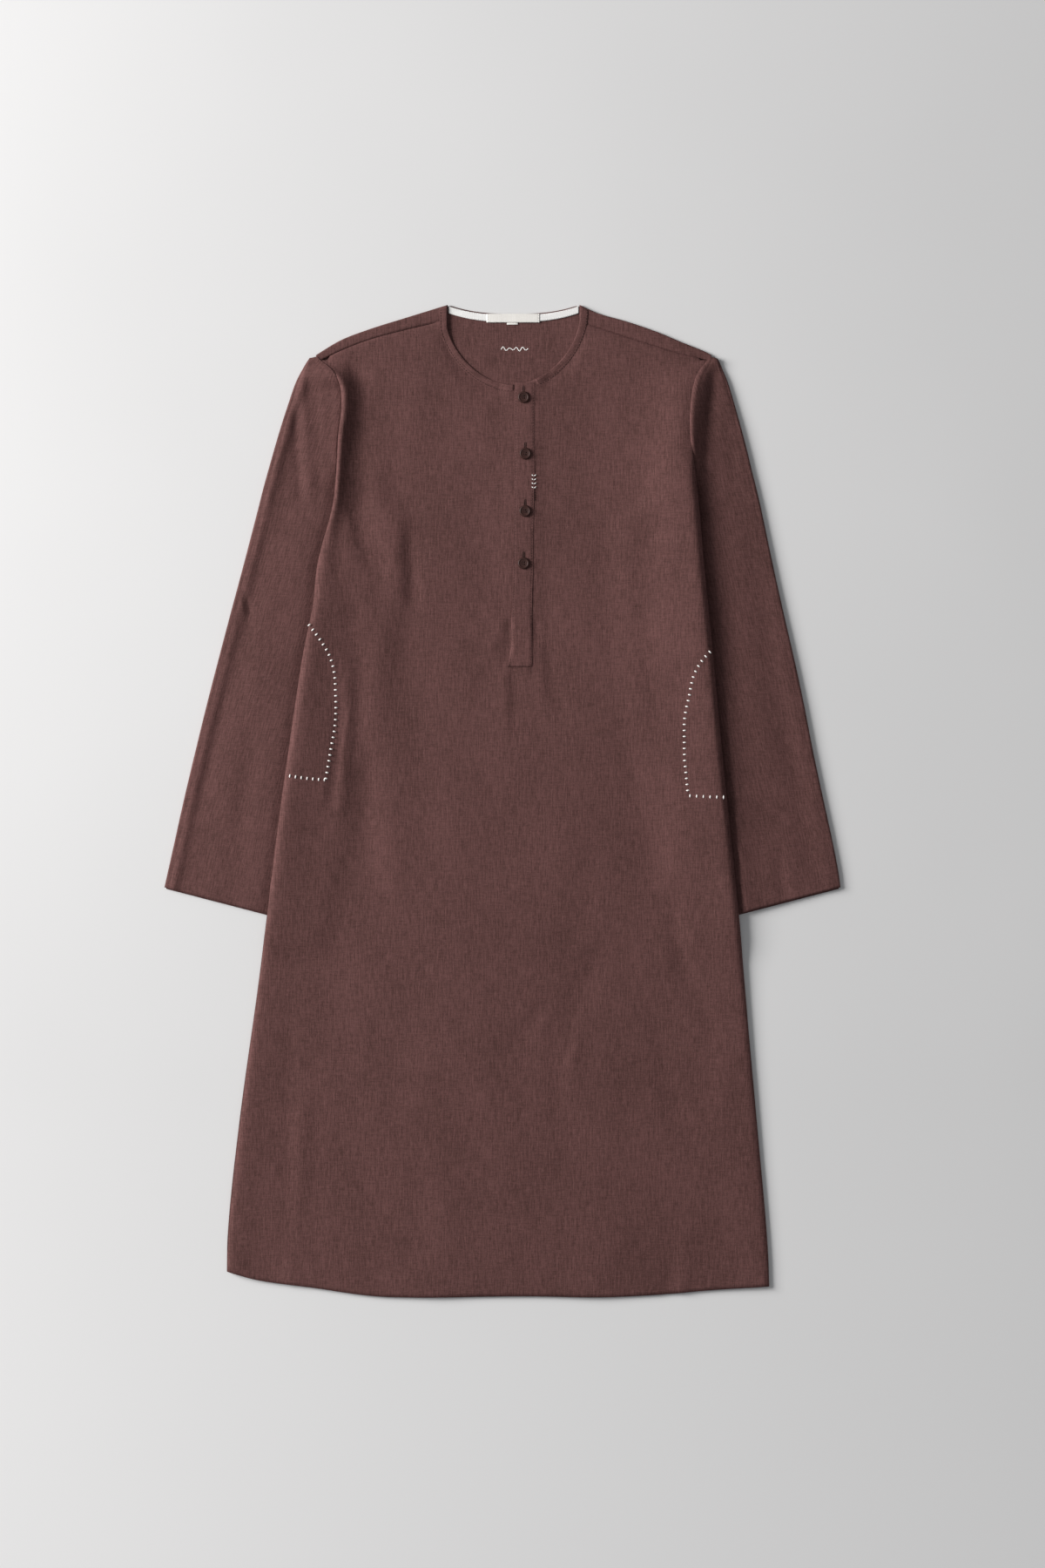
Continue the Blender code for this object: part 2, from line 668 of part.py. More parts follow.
def make_buttons(material):
    mesh = bpy.data.meshes.new("button")
    shape = bmesh.new()
    points = [(r * MM, 0.0, z * MM) for r, z in button_profile(BUTTON_RADIUS, BUTTON_THICKNESS)]
    verts = [shape.verts.new(point) for point in points]
    edges = [shape.edges.new(pair) for pair in zip(verts, verts[1:])]
    bmesh.ops.spin(
        shape, geom=verts + edges, cent=(0, 0, 0), axis=(0, 0, 1), angle=math.tau, steps=BUTTON_SIDES, use_merge=True
    )
    bmesh.ops.remove_doubles(shape, verts=shape.verts, dist=1e-6)
    bmesh.ops.recalc_face_normals(shape, faces=shape.faces)
    shape.to_mesh(mesh)
    shape.free()
    mesh.shade_smooth()
    mesh.materials.append(material)
    base = flat_front_height() + LAYER + CLOTH / 2 + GAP
    for number, row in enumerate(BUTTON_ROWS, start=1):
        button = bpy.data.objects.new(f"button_{number}", mesh)
        button.location = (row.x * MM, row.y * MM, base * MM)
        bpy.context.collection.objects.link(button)


def main():
    for old in list(bpy.data.objects):
        bpy.data.objects.remove(old, do_unlink=True)
    cloth = make_material("mauve_brown_cloth", (98, 68, 66), 0.9)
    trim = make_material("white_tape", (226, 223, 221), 0.85)
    horn = make_material("dark_button", (44, 28, 24), 0.35)
    make_front(cloth)
    make_back(cloth)
    make_sleeve("sleeve_left", -1, LEFT_SLEEVE, cloth)
    make_sleeve("sleeve_right", 1, RIGHT_SLEEVE, cloth)
    make_plackets(cloth)
    make_bindings(cloth)
    make_pocket("pocket_left", -1, "left", cloth)
    make_pocket("pocket_right", 1, "right", cloth)
    make_neck_trims(trim)
    make_buttons(horn)


main()
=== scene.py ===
import math

import bmesh
import bpy
import numpy as np
from mathutils import Matrix, Vector, noise


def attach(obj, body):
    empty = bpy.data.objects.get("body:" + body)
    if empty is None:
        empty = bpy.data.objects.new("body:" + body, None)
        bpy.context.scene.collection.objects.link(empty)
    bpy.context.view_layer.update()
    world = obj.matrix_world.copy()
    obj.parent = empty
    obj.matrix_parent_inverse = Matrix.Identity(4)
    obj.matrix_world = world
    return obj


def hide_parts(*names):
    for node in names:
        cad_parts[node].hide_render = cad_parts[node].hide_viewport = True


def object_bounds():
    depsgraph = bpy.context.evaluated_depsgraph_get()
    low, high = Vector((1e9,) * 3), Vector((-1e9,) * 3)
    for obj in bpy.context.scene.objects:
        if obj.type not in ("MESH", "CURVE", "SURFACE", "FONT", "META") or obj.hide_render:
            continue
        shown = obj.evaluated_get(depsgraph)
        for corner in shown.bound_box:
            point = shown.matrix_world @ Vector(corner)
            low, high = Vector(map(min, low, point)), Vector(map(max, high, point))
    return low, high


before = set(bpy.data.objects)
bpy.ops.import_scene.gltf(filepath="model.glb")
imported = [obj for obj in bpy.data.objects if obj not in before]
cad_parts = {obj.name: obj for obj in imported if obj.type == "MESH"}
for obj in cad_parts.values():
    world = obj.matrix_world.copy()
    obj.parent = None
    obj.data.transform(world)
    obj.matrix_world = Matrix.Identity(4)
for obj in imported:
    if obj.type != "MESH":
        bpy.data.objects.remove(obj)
cadBounds = [list(corner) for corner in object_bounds()]
mm = 0.001
print("frame loaded")

# ---- camera, floor and lights ----

view = {"height": 3, "lens": 64.5, "sensor": 36, "aim": (0.0214, 0.0181)}


def addObject(name, data):
    made = bpy.data.objects.new(name, data)
    bpy.context.scene.collection.objects.link(made)
    return made


def toMesh(name, shape):
    mesh = bpy.data.meshes.new(name)
    shape.to_mesh(mesh)
    shape.free()
    return mesh


camera = addObject("camera", bpy.data.cameras.new("camera"))
camera.location = (*view["aim"], view["height"])
camera.data.lens = view["lens"]
camera.data.sensor_width = view["sensor"]
bpy.context.scene.camera = camera
bpy.context.scene.view_settings.view_transform = "Standard"

light = {
    "keyAim": (0, 0, 0), "keyTurn": 163, "keyRise": 27, "keyReach": 4.4, "keySize": 2.2,
    "keyPower": 310, "keyColor": (1, 0.985, 0.965), "skyPower": 0.19, "skyColor": (0.97, 0.985, 1),
    "topPower": 9, "topSize": 3, "topHeight": 3.6, "topPlace": (0.3, -0.4),
}


def addArea(name, place, size, power, color):
    lamp = bpy.data.lights.new(name, "AREA")
    lamp.energy = power
    lamp.size = size
    lamp.color = color
    holder = addObject(name, lamp)
    holder.location = place
    holder.rotation_euler = (Vector(light["keyAim"]) - Vector(place)).to_track_quat("-Z", "Y").to_euler()


turn, rise = math.radians(light["keyTurn"]), math.radians(light["keyRise"])
flatReach = light["keyReach"] * math.cos(rise)
keyPlace = (flatReach * math.cos(turn), flatReach * math.sin(turn), light["keyReach"] * math.sin(rise))
addArea("windowLight", keyPlace, light["keySize"], light["keyPower"], light["keyColor"])
topPlace = (*light["topPlace"], light["topHeight"])
addArea("topLight", topPlace, light["topSize"], light["topPower"], light["skyColor"])

world = bpy.data.worlds.new("softSky")
world.use_nodes = True
world.node_tree.nodes["Background"].inputs["Color"].default_value = (*light["skyColor"], 1.0)
world.node_tree.nodes["Background"].inputs["Strength"].default_value = light["skyPower"]
bpy.context.scene.world = world

# ---- shader groups and materials ----


def linear(*channels):  # 0 to 255 display values to linear ones
    shares = [c / 255.0 for c in channels]
    return (*((s / 12.92 if s <= 0.04045 else ((s + 0.055) / 1.055) ** 2.4) for s in shares), 1.0)


def newGroup(name, inputs, outputs):
    group = bpy.data.node_groups.new(name, "ShaderNodeTree")
    for label, kind, value in inputs:
        socket = group.interface.new_socket(label, in_out="INPUT", socket_type=kind)
        if value is not None:
            socket.default_value = value
    for label, kind in outputs:
        group.interface.new_socket(label, in_out="OUTPUT", socket_type=kind)
    return group, group.nodes.new("NodeGroupInput"), group.nodes.new("NodeGroupOutput")


def mathNode(tree, operation, first, second=None, third=None, clamp=False):
    node = tree.nodes.new("ShaderNodeMath")
    node.operation = operation
    node.use_clamp = clamp
    for socket, value in zip(node.inputs, (first, second, third)):
        if isinstance(value, bpy.types.NodeSocket):
            tree.links.new(value, socket)
        elif value is not None:
            socket.default_value = value
    return node.outputs[0]


def scaledVector(tree, vector, across, along):
    node = tree.nodes.new("ShaderNodeVectorMath")
    node.operation = "MULTIPLY"
    tree.links.new(vector, node.inputs[0])
    node.inputs[1].default_value = (across, along, 1.0)
    return node.outputs[0]


def noiseNode(tree, vector, detail, roughness):
    node = tree.nodes.new("ShaderNodeTexNoise")
    node.noise_dimensions = "2D"
    node.inputs["Scale"].default_value = 1.0
    node.inputs["Detail"].default_value = detail
    node.inputs["Roughness"].default_value = roughness
    tree.links.new(vector, node.inputs["Vector"])
    return node.outputs["Fac"]


def mixColor(tree, share, first, second, blend="MIX"):
    node = tree.nodes.new("ShaderNodeMix")
    node.data_type = "RGBA"
    node.blend_type = blend
    for socket, value in ((node.inputs[0], share), (node.inputs[6], first), (node.inputs[7], second)):
        if isinstance(value, bpy.types.NodeSocket):
            tree.links.new(value, socket)
        else:
            socket.default_value = value
    return node.outputs[2]


weaveNoises = {  # how fine across and along the warp, detail, roughness, weight in the tone
    "fineWarp": (1250, 190, 1, 0.5, 0.3), "warp": (640, 52, 2, 0.6, 0.46),
    "weft": (60, 700, 2, 0.6, 0.26), "fineWeft": (190, 1300, 1, 0.5, 0.22),
    "patches": (22, 9, 3, 0.5, 0.2), "grain": (900, 900, 2, 0.7, 0.36),
    "slub": (520, 70, 1, 0.5, 0),
}
weaveLook = {
    "average": 0.9, "contrast": 2.4, "fleckFrom": 0.66, "fleckGain": 7, "warpPitch": 0.0011,
    "weftPitch": 0.0012, "threadRise": 0.22, "weftRise": 0.7, "fleckRise": 0.5, "grainRise": 0.5,
    "roughSpan": 0.16, "roughLow": 0.78,
}


def makeWeaveGroup():  # slubby plain weave, on coordinates in metres with the warp along Y
    colors = [(label, "NodeSocketColor", None) for label in ("Dark", "Light", "Fleck")]
    strengths = [(label, "NodeSocketFloat", 1.0) for label in ("Streaks", "Flecks")]
    group, given, result = newGroup(
        "slubWeave", [("Vector", "NodeSocketVector", None), *colors, *strengths],
        [("Color", "NodeSocketColor"), ("Height", "NodeSocketFloat"), ("Roughness", "NodeSocketFloat")])
    place = given.outputs["Vector"]
    noises, tone = {}, 0.0
    for name, (across, along, detail, roughness, weight) in weaveNoises.items():
        noises[name] = noiseNode(group, scaledVector(group, place, across, along), detail, roughness)
        tone = mathNode(group, "MULTIPLY_ADD", noises[name], weight, tone)
    tone = mathNode(group, "SUBTRACT", tone, weaveLook["average"])  # now about zero on average
    tone = mathNode(group, "MULTIPLY", tone, given.outputs["Streaks"])
    tone = mathNode(group, "MULTIPLY_ADD", tone, weaveLook["contrast"], 0.5, clamp=True)
    color = mixColor(group, tone, given.outputs["Dark"], given.outputs["Light"])
    fleckMask = mathNode(group, "SUBTRACT", noises["slub"], weaveLook["fleckFrom"])
    fleckMask = mathNode(group, "MULTIPLY", fleckMask, weaveLook["fleckGain"], clamp=True)
    fleckMask = mathNode(group, "MULTIPLY", fleckMask, given.outputs["Flecks"])
    color = mixColor(group, fleckMask, color, given.outputs["Fleck"])
    wave = group.nodes.new("ShaderNodeSeparateXYZ")
    turns = scaledVector(group, place, math.tau / weaveLook["warpPitch"], math.tau / weaveLook["weftPitch"])
    group.links.new(turns, wave.inputs[0])
    warpWave, weftWave = (mathNode(group, "SINE", wave.outputs[axis]) for axis in (0, 1))
    threads = mathNode(group, "MULTIPLY", warpWave, weftWave)
    height = mathNode(group, "MULTIPLY_ADD", noises["weft"], weaveLook["weftRise"], noises["warp"])
    height = mathNode(group, "MULTIPLY_ADD", threads, weaveLook["threadRise"], height)
    height = mathNode(group, "MULTIPLY_ADD", fleckMask, weaveLook["fleckRise"], height)
    height = mathNode(group, "MULTIPLY_ADD", noises["grain"], weaveLook["grainRise"], height)
    rough = mathNode(group, "MULTIPLY_ADD", noises["grain"], weaveLook["roughSpan"], weaveLook["roughLow"])
    for label, socket in (("Color", color), ("Height", height), ("Roughness", rough)):
        group.links.new(socket, result.inputs[label])
    return group


weaveGroup = makeWeaveGroup()
clothLook = {  # dark, light and fleck colours, strength of streaks and of flecks, bump in metres, sheen
    "kurtaCloth": ((75, 48, 45), (108, 73, 71), (124, 88, 85), 1.2, 0.3, 0.00022, 0.12),
    "pocketCloth": ((74, 48, 46), (106, 72, 70), (124, 88, 85), 0.8, 0.3, 0.0002, 0.1),
    "whiteTape": ((226, 225, 224), (250, 249, 248), (255, 255, 255), 0.7, 0.2, 0.00015, 0.1),
    "whiteLabel": ((224, 221, 216), (243, 240, 236), (250, 248, 244), 0.5, 0.1, 0.0001, 0.2),
    "whiteThread": ((242, 238, 234), (255, 254, 252), (255, 255, 255), 0.8, 0.3, 0.0001, 0.2),
    "darkThread": ((36, 22, 20), (60, 40, 37), (70, 48, 45), 0.8, 0.1, 0.0001, 0),
    "brownThread": ((56, 37, 35), (84, 58, 56), (100, 72, 70), 0.8, 0.2, 0.0001, 0.1),
}
clothFinish = {"bumpStrength": 0.8, "sheenRoughness": 0.5, "specular": 0.25}


def newMaterial(name):
    material = bpy.data.materials.new(name)
    material.use_nodes = True
    return material, material.node_tree, material.node_tree.nodes["Principled BSDF"]


def makeCloth(name, dark, light, fleck, streaks, flecks, bumpHeight, sheen):
    material, tree, shader = newMaterial(name)
    weave = tree.nodes.new("ShaderNodeGroup")
    weave.node_tree = weaveGroup
    for label, color in (("Dark", dark), ("Light", light), ("Fleck", fleck)):
        weave.inputs[label].default_value = linear(*color)
    weave.inputs["Streaks"].default_value = streaks
    weave.inputs["Flecks"].default_value = flecks
    place = tree.nodes.new("ShaderNodeUVMap")
    place.uv_map = "grain"
    bump = tree.nodes.new("ShaderNodeBump")
    bump.inputs["Distance"].default_value = bumpHeight
    bump.inputs["Strength"].default_value = clothFinish["bumpStrength"]
    tree.links.new(place.outputs["UV"], weave.inputs["Vector"])
    tree.links.new(weave.outputs["Color"], shader.inputs["Base Color"])
    tree.links.new(weave.outputs["Roughness"], shader.inputs["Roughness"])
    tree.links.new(weave.outputs["Height"], bump.inputs["Height"])
    tree.links.new(bump.outputs["Normal"], shader.inputs["Normal"])
    shader.inputs["Sheen Weight"].default_value = sheen
    shader.inputs["Sheen Roughness"].default_value = clothFinish["sheenRoughness"]
    shader.inputs["Sheen Tint"].default_value = linear(*light)
    shader.inputs["Specular IOR Level"].default_value = clothFinish["specular"]
    return material


cloths = {name: makeCloth(name, *look) for name, look in clothLook.items()}

hornLook = {
    "dark": (34, 18, 16), "light": (72, 43, 38), "roughSpan": 0.2, "roughLow": 0.4, "shine": 0.28,
    "scale": 260, "detail": 4, "distortion": 1.2,
}


def makeHorn():
    material, tree, shader = newMaterial("darkHorn")
    place = tree.nodes.new("ShaderNodeTexCoord")
    node = tree.nodes.new("ShaderNodeTexNoise")
    for label in ("scale", "detail", "distortion"):
        node.inputs[label.capitalize()].default_value = hornLook[label]
    tree.links.new(place.outputs["Object"], node.inputs["Vector"])
    color = mixColor(tree, node.outputs["Fac"], linear(*hornLook["dark"]), linear(*hornLook["light"]))
    tree.links.new(color, shader.inputs["Base Color"])
    rough = mathNode(tree, "MULTIPLY_ADD", node.outputs["Fac"], hornLook["roughSpan"], hornLook["roughLow"])
    tree.links.new(rough, shader.inputs["Roughness"])
    shader.inputs["Specular IOR Level"].default_value = hornLook["shine"]
    return material


darkHorn = makeHorn()

# shade and color are two greys mixed at random; low is painted light: a lighter floor colour blended in
# towards the bottom of the frame, standing in for how the lamps light it
floorLook = {
    "size": 24, "cells": 8, "below": 0.0003, "color": (226, 226, 227), "shade": (219, 219, 220),
    "low": (231, 231, 232), "scale": 2.5, "paintedLightFrom": 0.3, "paintedLightSpan": 0.5, "roughness": 0.85, "specular": 0.15,
}


def makeFloor():
    shape = bmesh.new()
    cells = floorLook["cells"]
    bmesh.ops.create_grid(shape, x_segments=cells, y_segments=cells, size=floorLook["size"] / 2)
    floor = addObject("floor", toMesh("floor", shape))
    material, tree, shader = newMaterial("paleFloor")
    place = tree.nodes.new("ShaderNodeTexCoord")
    node = tree.nodes.new("ShaderNodeTexNoise")
    node.inputs["Scale"].default_value = floorLook["scale"]
    tree.links.new(place.outputs["Object"], node.inputs["Vector"])
    color = mixColor(tree, node.outputs["Fac"], linear(*floorLook["shade"]), linear(*floorLook["color"]))
    parts = tree.nodes.new("ShaderNodeSeparateXYZ")
    tree.links.new(place.outputs["Object"], parts.inputs[0])
    # painted light: the floor's colour turns lighter towards the bottom of the frame, over the span given
    down = mathNode(tree, "MULTIPLY_ADD", parts.outputs[1], -1.0, -floorLook["paintedLightFrom"])
    low = mathNode(tree, "DIVIDE", down, floorLook["paintedLightSpan"], clamp=True)
    color = mixColor(tree, low, color, linear(*floorLook["low"]))
    tree.links.new(color, shader.inputs["Base Color"])
    shader.inputs["Roughness"].default_value = floorLook["roughness"]
    shader.inputs["Specular IOR Level"].default_value = floorLook["specular"]
    floor.data.materials.append(material)
    floor.location = (0.0, 0.0, cadBounds[0][2] - floorLook["below"])


makeFloor()
print("camera, lights and materials made")

# ---- curves and tables, in millimetres ----


def smoothStep(value):
    share = np.clip(value, 0.0, 1.0)
    return share * share * (3.0 - 2.0 * share)


def mix(low, high, share):
    return low + (high - low) * share


def onCurve(rows, column, at, key=0):  # a table's column between its rows, on a smooth curve through them
    table = np.array(rows, float)
    places, values = table[:, key], table[:, column]
    at = np.clip(np.asarray(at, float), places[0], places[-1])
    i = np.clip(np.searchsorted(places, at, side="right") - 1, 0, len(places) - 2)
    slopes = np.diff(values) / np.diff(places)
    bends = np.concatenate([slopes[:1], (slopes[:-1] + slopes[1:]) / 2, slopes[-1:]])
    span = places[i + 1] - places[i]
    t = (at - places[i]) / span
    held = values[i] * (1 + 2 * t) * (1 - t) ** 2 + values[i + 1] * t * t * (3 - 2 * t)
    return held + span * (bends[i] * t * (1 - t) ** 2 + bends[i + 1] * t * t * (t - 1))


form = {
    "wall": 0.8, "cadWall": 1, "layer": 1.3, "seam": 0.4, "sideSeam": 1.1, "shoulderGap": 0.3,
    "centreX": 23.5, "underarmY": 318, "topY": 470, "foldEndY": 474, "hemLow": -529.6, "loft": 1.3,
    "leastLoft": 0.35, "pocketLoft": 1.6, "roll": 8, "rollReach": (26, 36), "rollPower": 1.5,
    "seamShare": 0.4,
}
halfWall = form["cadWall"] / 2
layer = form["layer"]
centreX = form["centreX"]
neck = {
    "x": 11, "y": 519, "halfWidth": 72, "depth": 75, "power": 1.8, "left": -58.1, "right": 82.1,
    "backY": 520, "backRise": 9.6, "backPower": 2.6,
}

bodyRows = (  # y, left edge, right edge, and how far each edge stands above its layer
    (-532, -294.6, 285.3, 2, 1.4), (-487, -293.7, 283.6, 2.4, 1.5), (-354, -281.2, 272.5, 2.8, 1.7),
    (-200, -261, 258.8, 3.2, 3.4), (-110, -249.7, 251.1, 4, 6.4), (-30, -239.7, 242.7, 5, 8.6),
    (52, -228.3, 234.2, 5.5, 9.6), (160, -212, 224.3, 5.5, 10.2), (204, -203, 219.8, 5.5, 10.4),
    (255, -196.8, 214.7, 5, 10.6), (318, -180.5, 209.2, 4.5, 10.6), (345, -177.6, 206, 4.2, 10.2),
    (390, -175.4, 200.3, 3.6, 9.6), (422, -172.1, 201.2, 2.4, 9.2), (445, -174.5, 204.9, 1.2, 7.4),
    (460, -182.8, 210.8, 0.4, 3.4), (470, -195, 219.5, 0, 0.4), (474, -199, 223, 0, 0),
)
hemRows = (  # share of the hem's width, y
    (0, -501.7), (0.055, -510.8), (0.154, -518.9), (0.27, -528.2), (0.33, -529.6), (0.55, -528.4),
    (0.69, -529.4), (0.79, -527), (0.89, -522), (1, -517.8),
)
shoulderRows = {  # x, the fold along the top of the shoulder, the seam in front of it
    -1: ((-206, 471.5, 466), (-199, 475.8, 468.6), (-195, 478.4, 470.2), (-173.1, 491.5, 480.6),
         (-143.8, 502.9, 491.9), (-103.2, 515.7, 503.1), (-58.1, 529.6, 513.2)),
    1: ((82.1, 529.6, 511.8), (101.4, 520.8, 505.8), (131.1, 512.2, 495.8), (165.4, 500.5, 485.2),
        (190.9, 489.8, 477.2), (219.5, 477.9, 470.2), (223, 475.8, 469), (230, 470, 467)),
}
sleeveRows = (  # inner y, left outer x and y, right outer x and y, tuck below the body, half the fold
    (-127, -361, -92.3, 361, -92.3, 25.7, 1.6), (-107, -357.3, -76, 358.7, -76, 28, 1.7),
    (-62, -350, -43.2, 352.4, -43.2, 33, 1.8), (-2, -339.6, 3.5, 342.2, 3.5, 40.5, 1.9),
    (49, -327.6, 54, 331.4, 54, 46, 2), (98, -315.6, 103, 321.9, 103, 51, 2),
    (149, -303.2, 151, 311.6, 151, 54, 2), (200, -290.3, 200, 300.3, 200, 55, 2),
    (248, -277.4, 248, 289.6, 248, 52, 2), (296, -264.9, 296, 279.5, 296, 46, 2),
    (318, -259.5, 317, 275, 317, 16, 2), (333, -255.5, 333, 271.2, 333, 6, 2),
    (350, -250.8, 350, 266.9, 350, 0, 2), (372, -244.3, 373, 261.4, 373, 0, 2),
    (398, -236.8, 398.5, 254.8, 398, 0, 2), (422, -229.3, 421.8, 248.2, 421.8, 0, 1.8),
    (445, -220.5, 447, 240.6, 447, 0, 1.6), (460, -213.5, 460.6, 235, 460.4, 0, 1.4),
    (470, -208.8, 468.6, 231.8, 468.4, 0, 1.3), (474, -206, 472.6, 229.8, 472, 0, 1.3),
)


def sideOf(x):
    return np.where(np.asarray(x) < centreX, -1, 1)


def bySide(side, left, right):
    return np.where(np.asarray(side) < 0, left, right)


def bodyEdge(side, y):
    return bySide(side, onCurve(bodyRows, 1, y), onCurve(bodyRows, 2, y))


def edgeLoft(side, y):
    return bySide(side, onCurve(bodyRows, 3, y), onCurve(bodyRows, 4, y))


def inside(x, y):  # how far in from its own side edge
    side = sideOf(x)
    return side * (bodyEdge(side, y) - x)


def hemY(x):
    left, right = bodyEdge(-1, bodyRows[0][0]), bodyEdge(1, bodyRows[0][0])
    return onCurve(hemRows, 1, (x - left) / (right - left))


def neckPlace(degrees):  # 0 at the neckline's left end, 90 at its lowest point, 180 at its right end
    turn = np.radians(degrees)
    across = np.sign(np.cos(turn)) * np.abs(np.cos(turn)) ** (2.0 / neck["power"])
    down = np.sin(turn) ** (2.0 / neck["power"])
    return neck["x"] - neck["halfWidth"] * across, neck["y"] - neck["depth"] * down


def necklineY(x):
    share = np.clip(np.abs(x - neck["x"]) / neck["halfWidth"], 0.0, 1.0)
    return neck["y"] - neck["depth"] * (1.0 - share ** neck["power"]) ** (1.0 / neck["power"])


def backNeckY(x):
    share = np.clip((x - neck["left"]) / (neck["right"] - neck["left"]), 0.0, 1.0)
    return neck["backY"] + neck["backRise"] * np.abs(2.0 * share - 1.0) ** neck["backPower"]


def shoulder(x, column):
    return np.where(x < neck["x"], onCurve(shoulderRows[-1], column, x), onCurve(shoulderRows[1], column, x))


# ---- creases: soft ridges (up) and troughs (down) along lines: x0, y0, x1, y1, width, height, lean ----
# lean is how much steeper the side to the right of the line falls than the other

placketCreases = (
    (7.6, 190, 7.2, 164, 2.4, -1.7, 0), (6.6, 162, 1.6, 144, 2.6, -1.7, 0),
    (34, 190, 34.6, 143, 2.4, -1.6, 0), (4, 140, 4.4, 86, 3.6, 1.1, 0.6), (11, 136, 12, 90, 6, -0.8, 0),
    (38, 160, 42, 120, 4, 1, 0), (-4, 182, -16, 150, 5, 0.9, 0), (-14, 150, -22, 122, 7, -0.7, 0),
    (50, 150, 62, 96, 9, -0.7, 0),
)
frontCreases = (
    (-154, 462, -152, 330, 11, -1.8, 0), (-150, 330, -138, 262, 14, -1.2, 0),
    (-157, 302, -139, 256, 8, -3, 0.5), (-100, 270, -97, 222, 7, -2.3, 0.3),
    (-112, 296, -110, 236, 12, 1.3, 0), (-133, 330, -128, 290, 12, 1, 0),
    (-158, 190, -150, 40, 11, -1.3, 0), (-150, 40, -140, -80, 13, -1, 0),
    (-128, 160, -118, -60, 22, 1.6, 0), (186, 380, 170, 250, 16, 1, 0), (100, 130, 60, -60, 40, 0.9, 0),
    (-60, -60, -30, -260, 46, 0.9, 0), (-215, -330, -222, -500, 10, 1.4, 0),
    (196, -470, 190, -526, 9, 1, 0), (-60, -440, -70, -526, 26, 1, 0), (110, -380, 100, -526, 30, 1, 0),
    (-173, 96, -181, 5, 4, -2.6, 0), (-165, 120, -173, 0, 7, 1.5, 0.3), (97, -176, 64, -250, 13, -1.5, 0),
    (63, -250, 58, -312, 10, -1.2, 0), (40, -224, 20, -252, 8, -0.9, 0), (82, -236, 76, -270, 8, 0.7, 0),
    (183, -132, 196, -184, 9, -1.3, 0), (196, -184, 222, -240, 9, -1.2, 0),
    (166, -244, 180, -320, 10, -1.2, 0), (180, -320, 197, -356, 12, -0.8, 0),
    (172, -100, 176, -160, 8, 0.7, 0), (232, -262, 236, -352, 8, 0.5, 0), (120, -60, 96, -160, 16, 0.6, 0),
    (-228, -250, -226, -480, 7, -1, 0), (-250, -255, -232, -258, 4, -0.9, 0),
    (-213, -430, -217, -500, 5, -0.9, 0), (182, -500, 178, -526, 8, -0.9, 0),
    (-172, 300, -176, 250, 7, -1.2, 0), (168, 300, 150, 180, 24, -0.8, 0), (120, 420, 150, 350, 26, 0.7, 0),
    (-90, 440, -110, 360, 26, 0.7, 0), (-60, 330, -80, 200, 30, 0.6, 0), (210, 40, 190, -60, 18, 0.9, 0),
    (-215, -40, -205, -160, 22, 0.7, 0), (60, 20, 20, -20, 50, -0.5, 0), (190, 340, 192, 240, 60, 3, 0),
)
backCreases = (
    (-120, 380, -90, 120, 34, 0.8, 0), (60, 360, 90, 60, 40, 0.7, 0), (-40, 200, -70, -140, 46, 0.9, 0),
    (120, 60, 150, -220, 38, 0.8, 0), (-150, -60, -170, -330, 30, 0.8, 0), (20, -120, 0, -420, 44, 0.8, 0),
    (-100, -300, -120, -500, 24, 0.9, 0), (170, -260, 190, -480, 22, 0.8, 0),
    (70, -330, 80, -520, 26, 0.8, 0), (-220, -330, -232, -490, 14, 0.9, 0), (0, 420, 10, 300, 40, 0.5, 0),
)


def creaseHeights(rows, x, y):
    total = np.zeros_like(np.asarray(x, float))
    for x0, y0, x1, y1, width, height, lean in rows:
        runX, runY = x1 - x0, y1 - y0
        length = math.hypot(runX, runY)
        share = ((x - x0) * runX + (y - y0) * runY) / length**2
        away = ((x - x0) * runY - (y - y0) * runX) / length
        away = away * np.where(away > 0, 1.0 + lean, 1.0)
        past = np.maximum(np.maximum(-share, share - 1.0), 0.0) * length
        fade = 1.6 * width + 4.0  # how far a crease runs out beyond the ends of its line
        total = total + height * np.exp(-((away / width) ** 2) - (past / fade) ** 2)
    return total


def ripple(x, y, scale, seed):  # slow unevenness of about -1 to 1
    flatX, flatY = np.ravel(x), np.ravel(y)
    values = [noise.noise(Vector((px / scale, py / scale, seed))) for px, py in zip(flatX, flatY)]
    return np.array(values).reshape(np.shape(x))


# ---- heights of the layers' middles ----

pocketArea = {"middles": (108, 86), "reach": 48, "fade": 26, "halfLength": 96, "endFade": 60}
hiddenSleeve = {"reach": 24, "fade": 34, "top": 338, "topFade": 44, "low": -176, "lowFade": 34}
armRidge = {
    "top": 472, "full": 444, "low": 350, "end": 262, "height": 13, "inner": (10, 17),
    "innerFade": 80, "start": 5,
}


def overSleeve(x, y):  # 1 where the back lies on a hidden sleeve
    tuck = np.interp(y, *zip(*((row[0], row[5]) for row in sleeveRows if row[5])))
    across = 1.0 - smoothStep((inside(x, y) - tuck - hiddenSleeve["reach"]) / hiddenSleeve["fade"])
    below = 1.0 - smoothStep((y - hiddenSleeve["top"]) / hiddenSleeve["topFade"])
    return across * below * smoothStep((y - hiddenSleeve["low"]) / hiddenSleeve["lowFade"])


def backHeight(x, y):
    return halfWall + 2 * layer * overSleeve(x, y)


def pocketLoft(x, y):
    middle = bySide(sideOf(x), *pocketArea["middles"])
    across = 1.0 - smoothStep((inside(x, y) - pocketArea["reach"]) / pocketArea["fade"])
    past = (np.abs(y - middle) - pocketArea["halfLength"]) / pocketArea["endFade"]
    return form["pocketLoft"] * across * (1.0 - smoothStep(past))


def ridgeShare(y):
    rise = smoothStep((armRidge["top"] - y) / (armRidge["top"] - armRidge["full"]))
    return rise * smoothStep((y - armRidge["end"]) / (armRidge["low"] - armRidge["end"]))


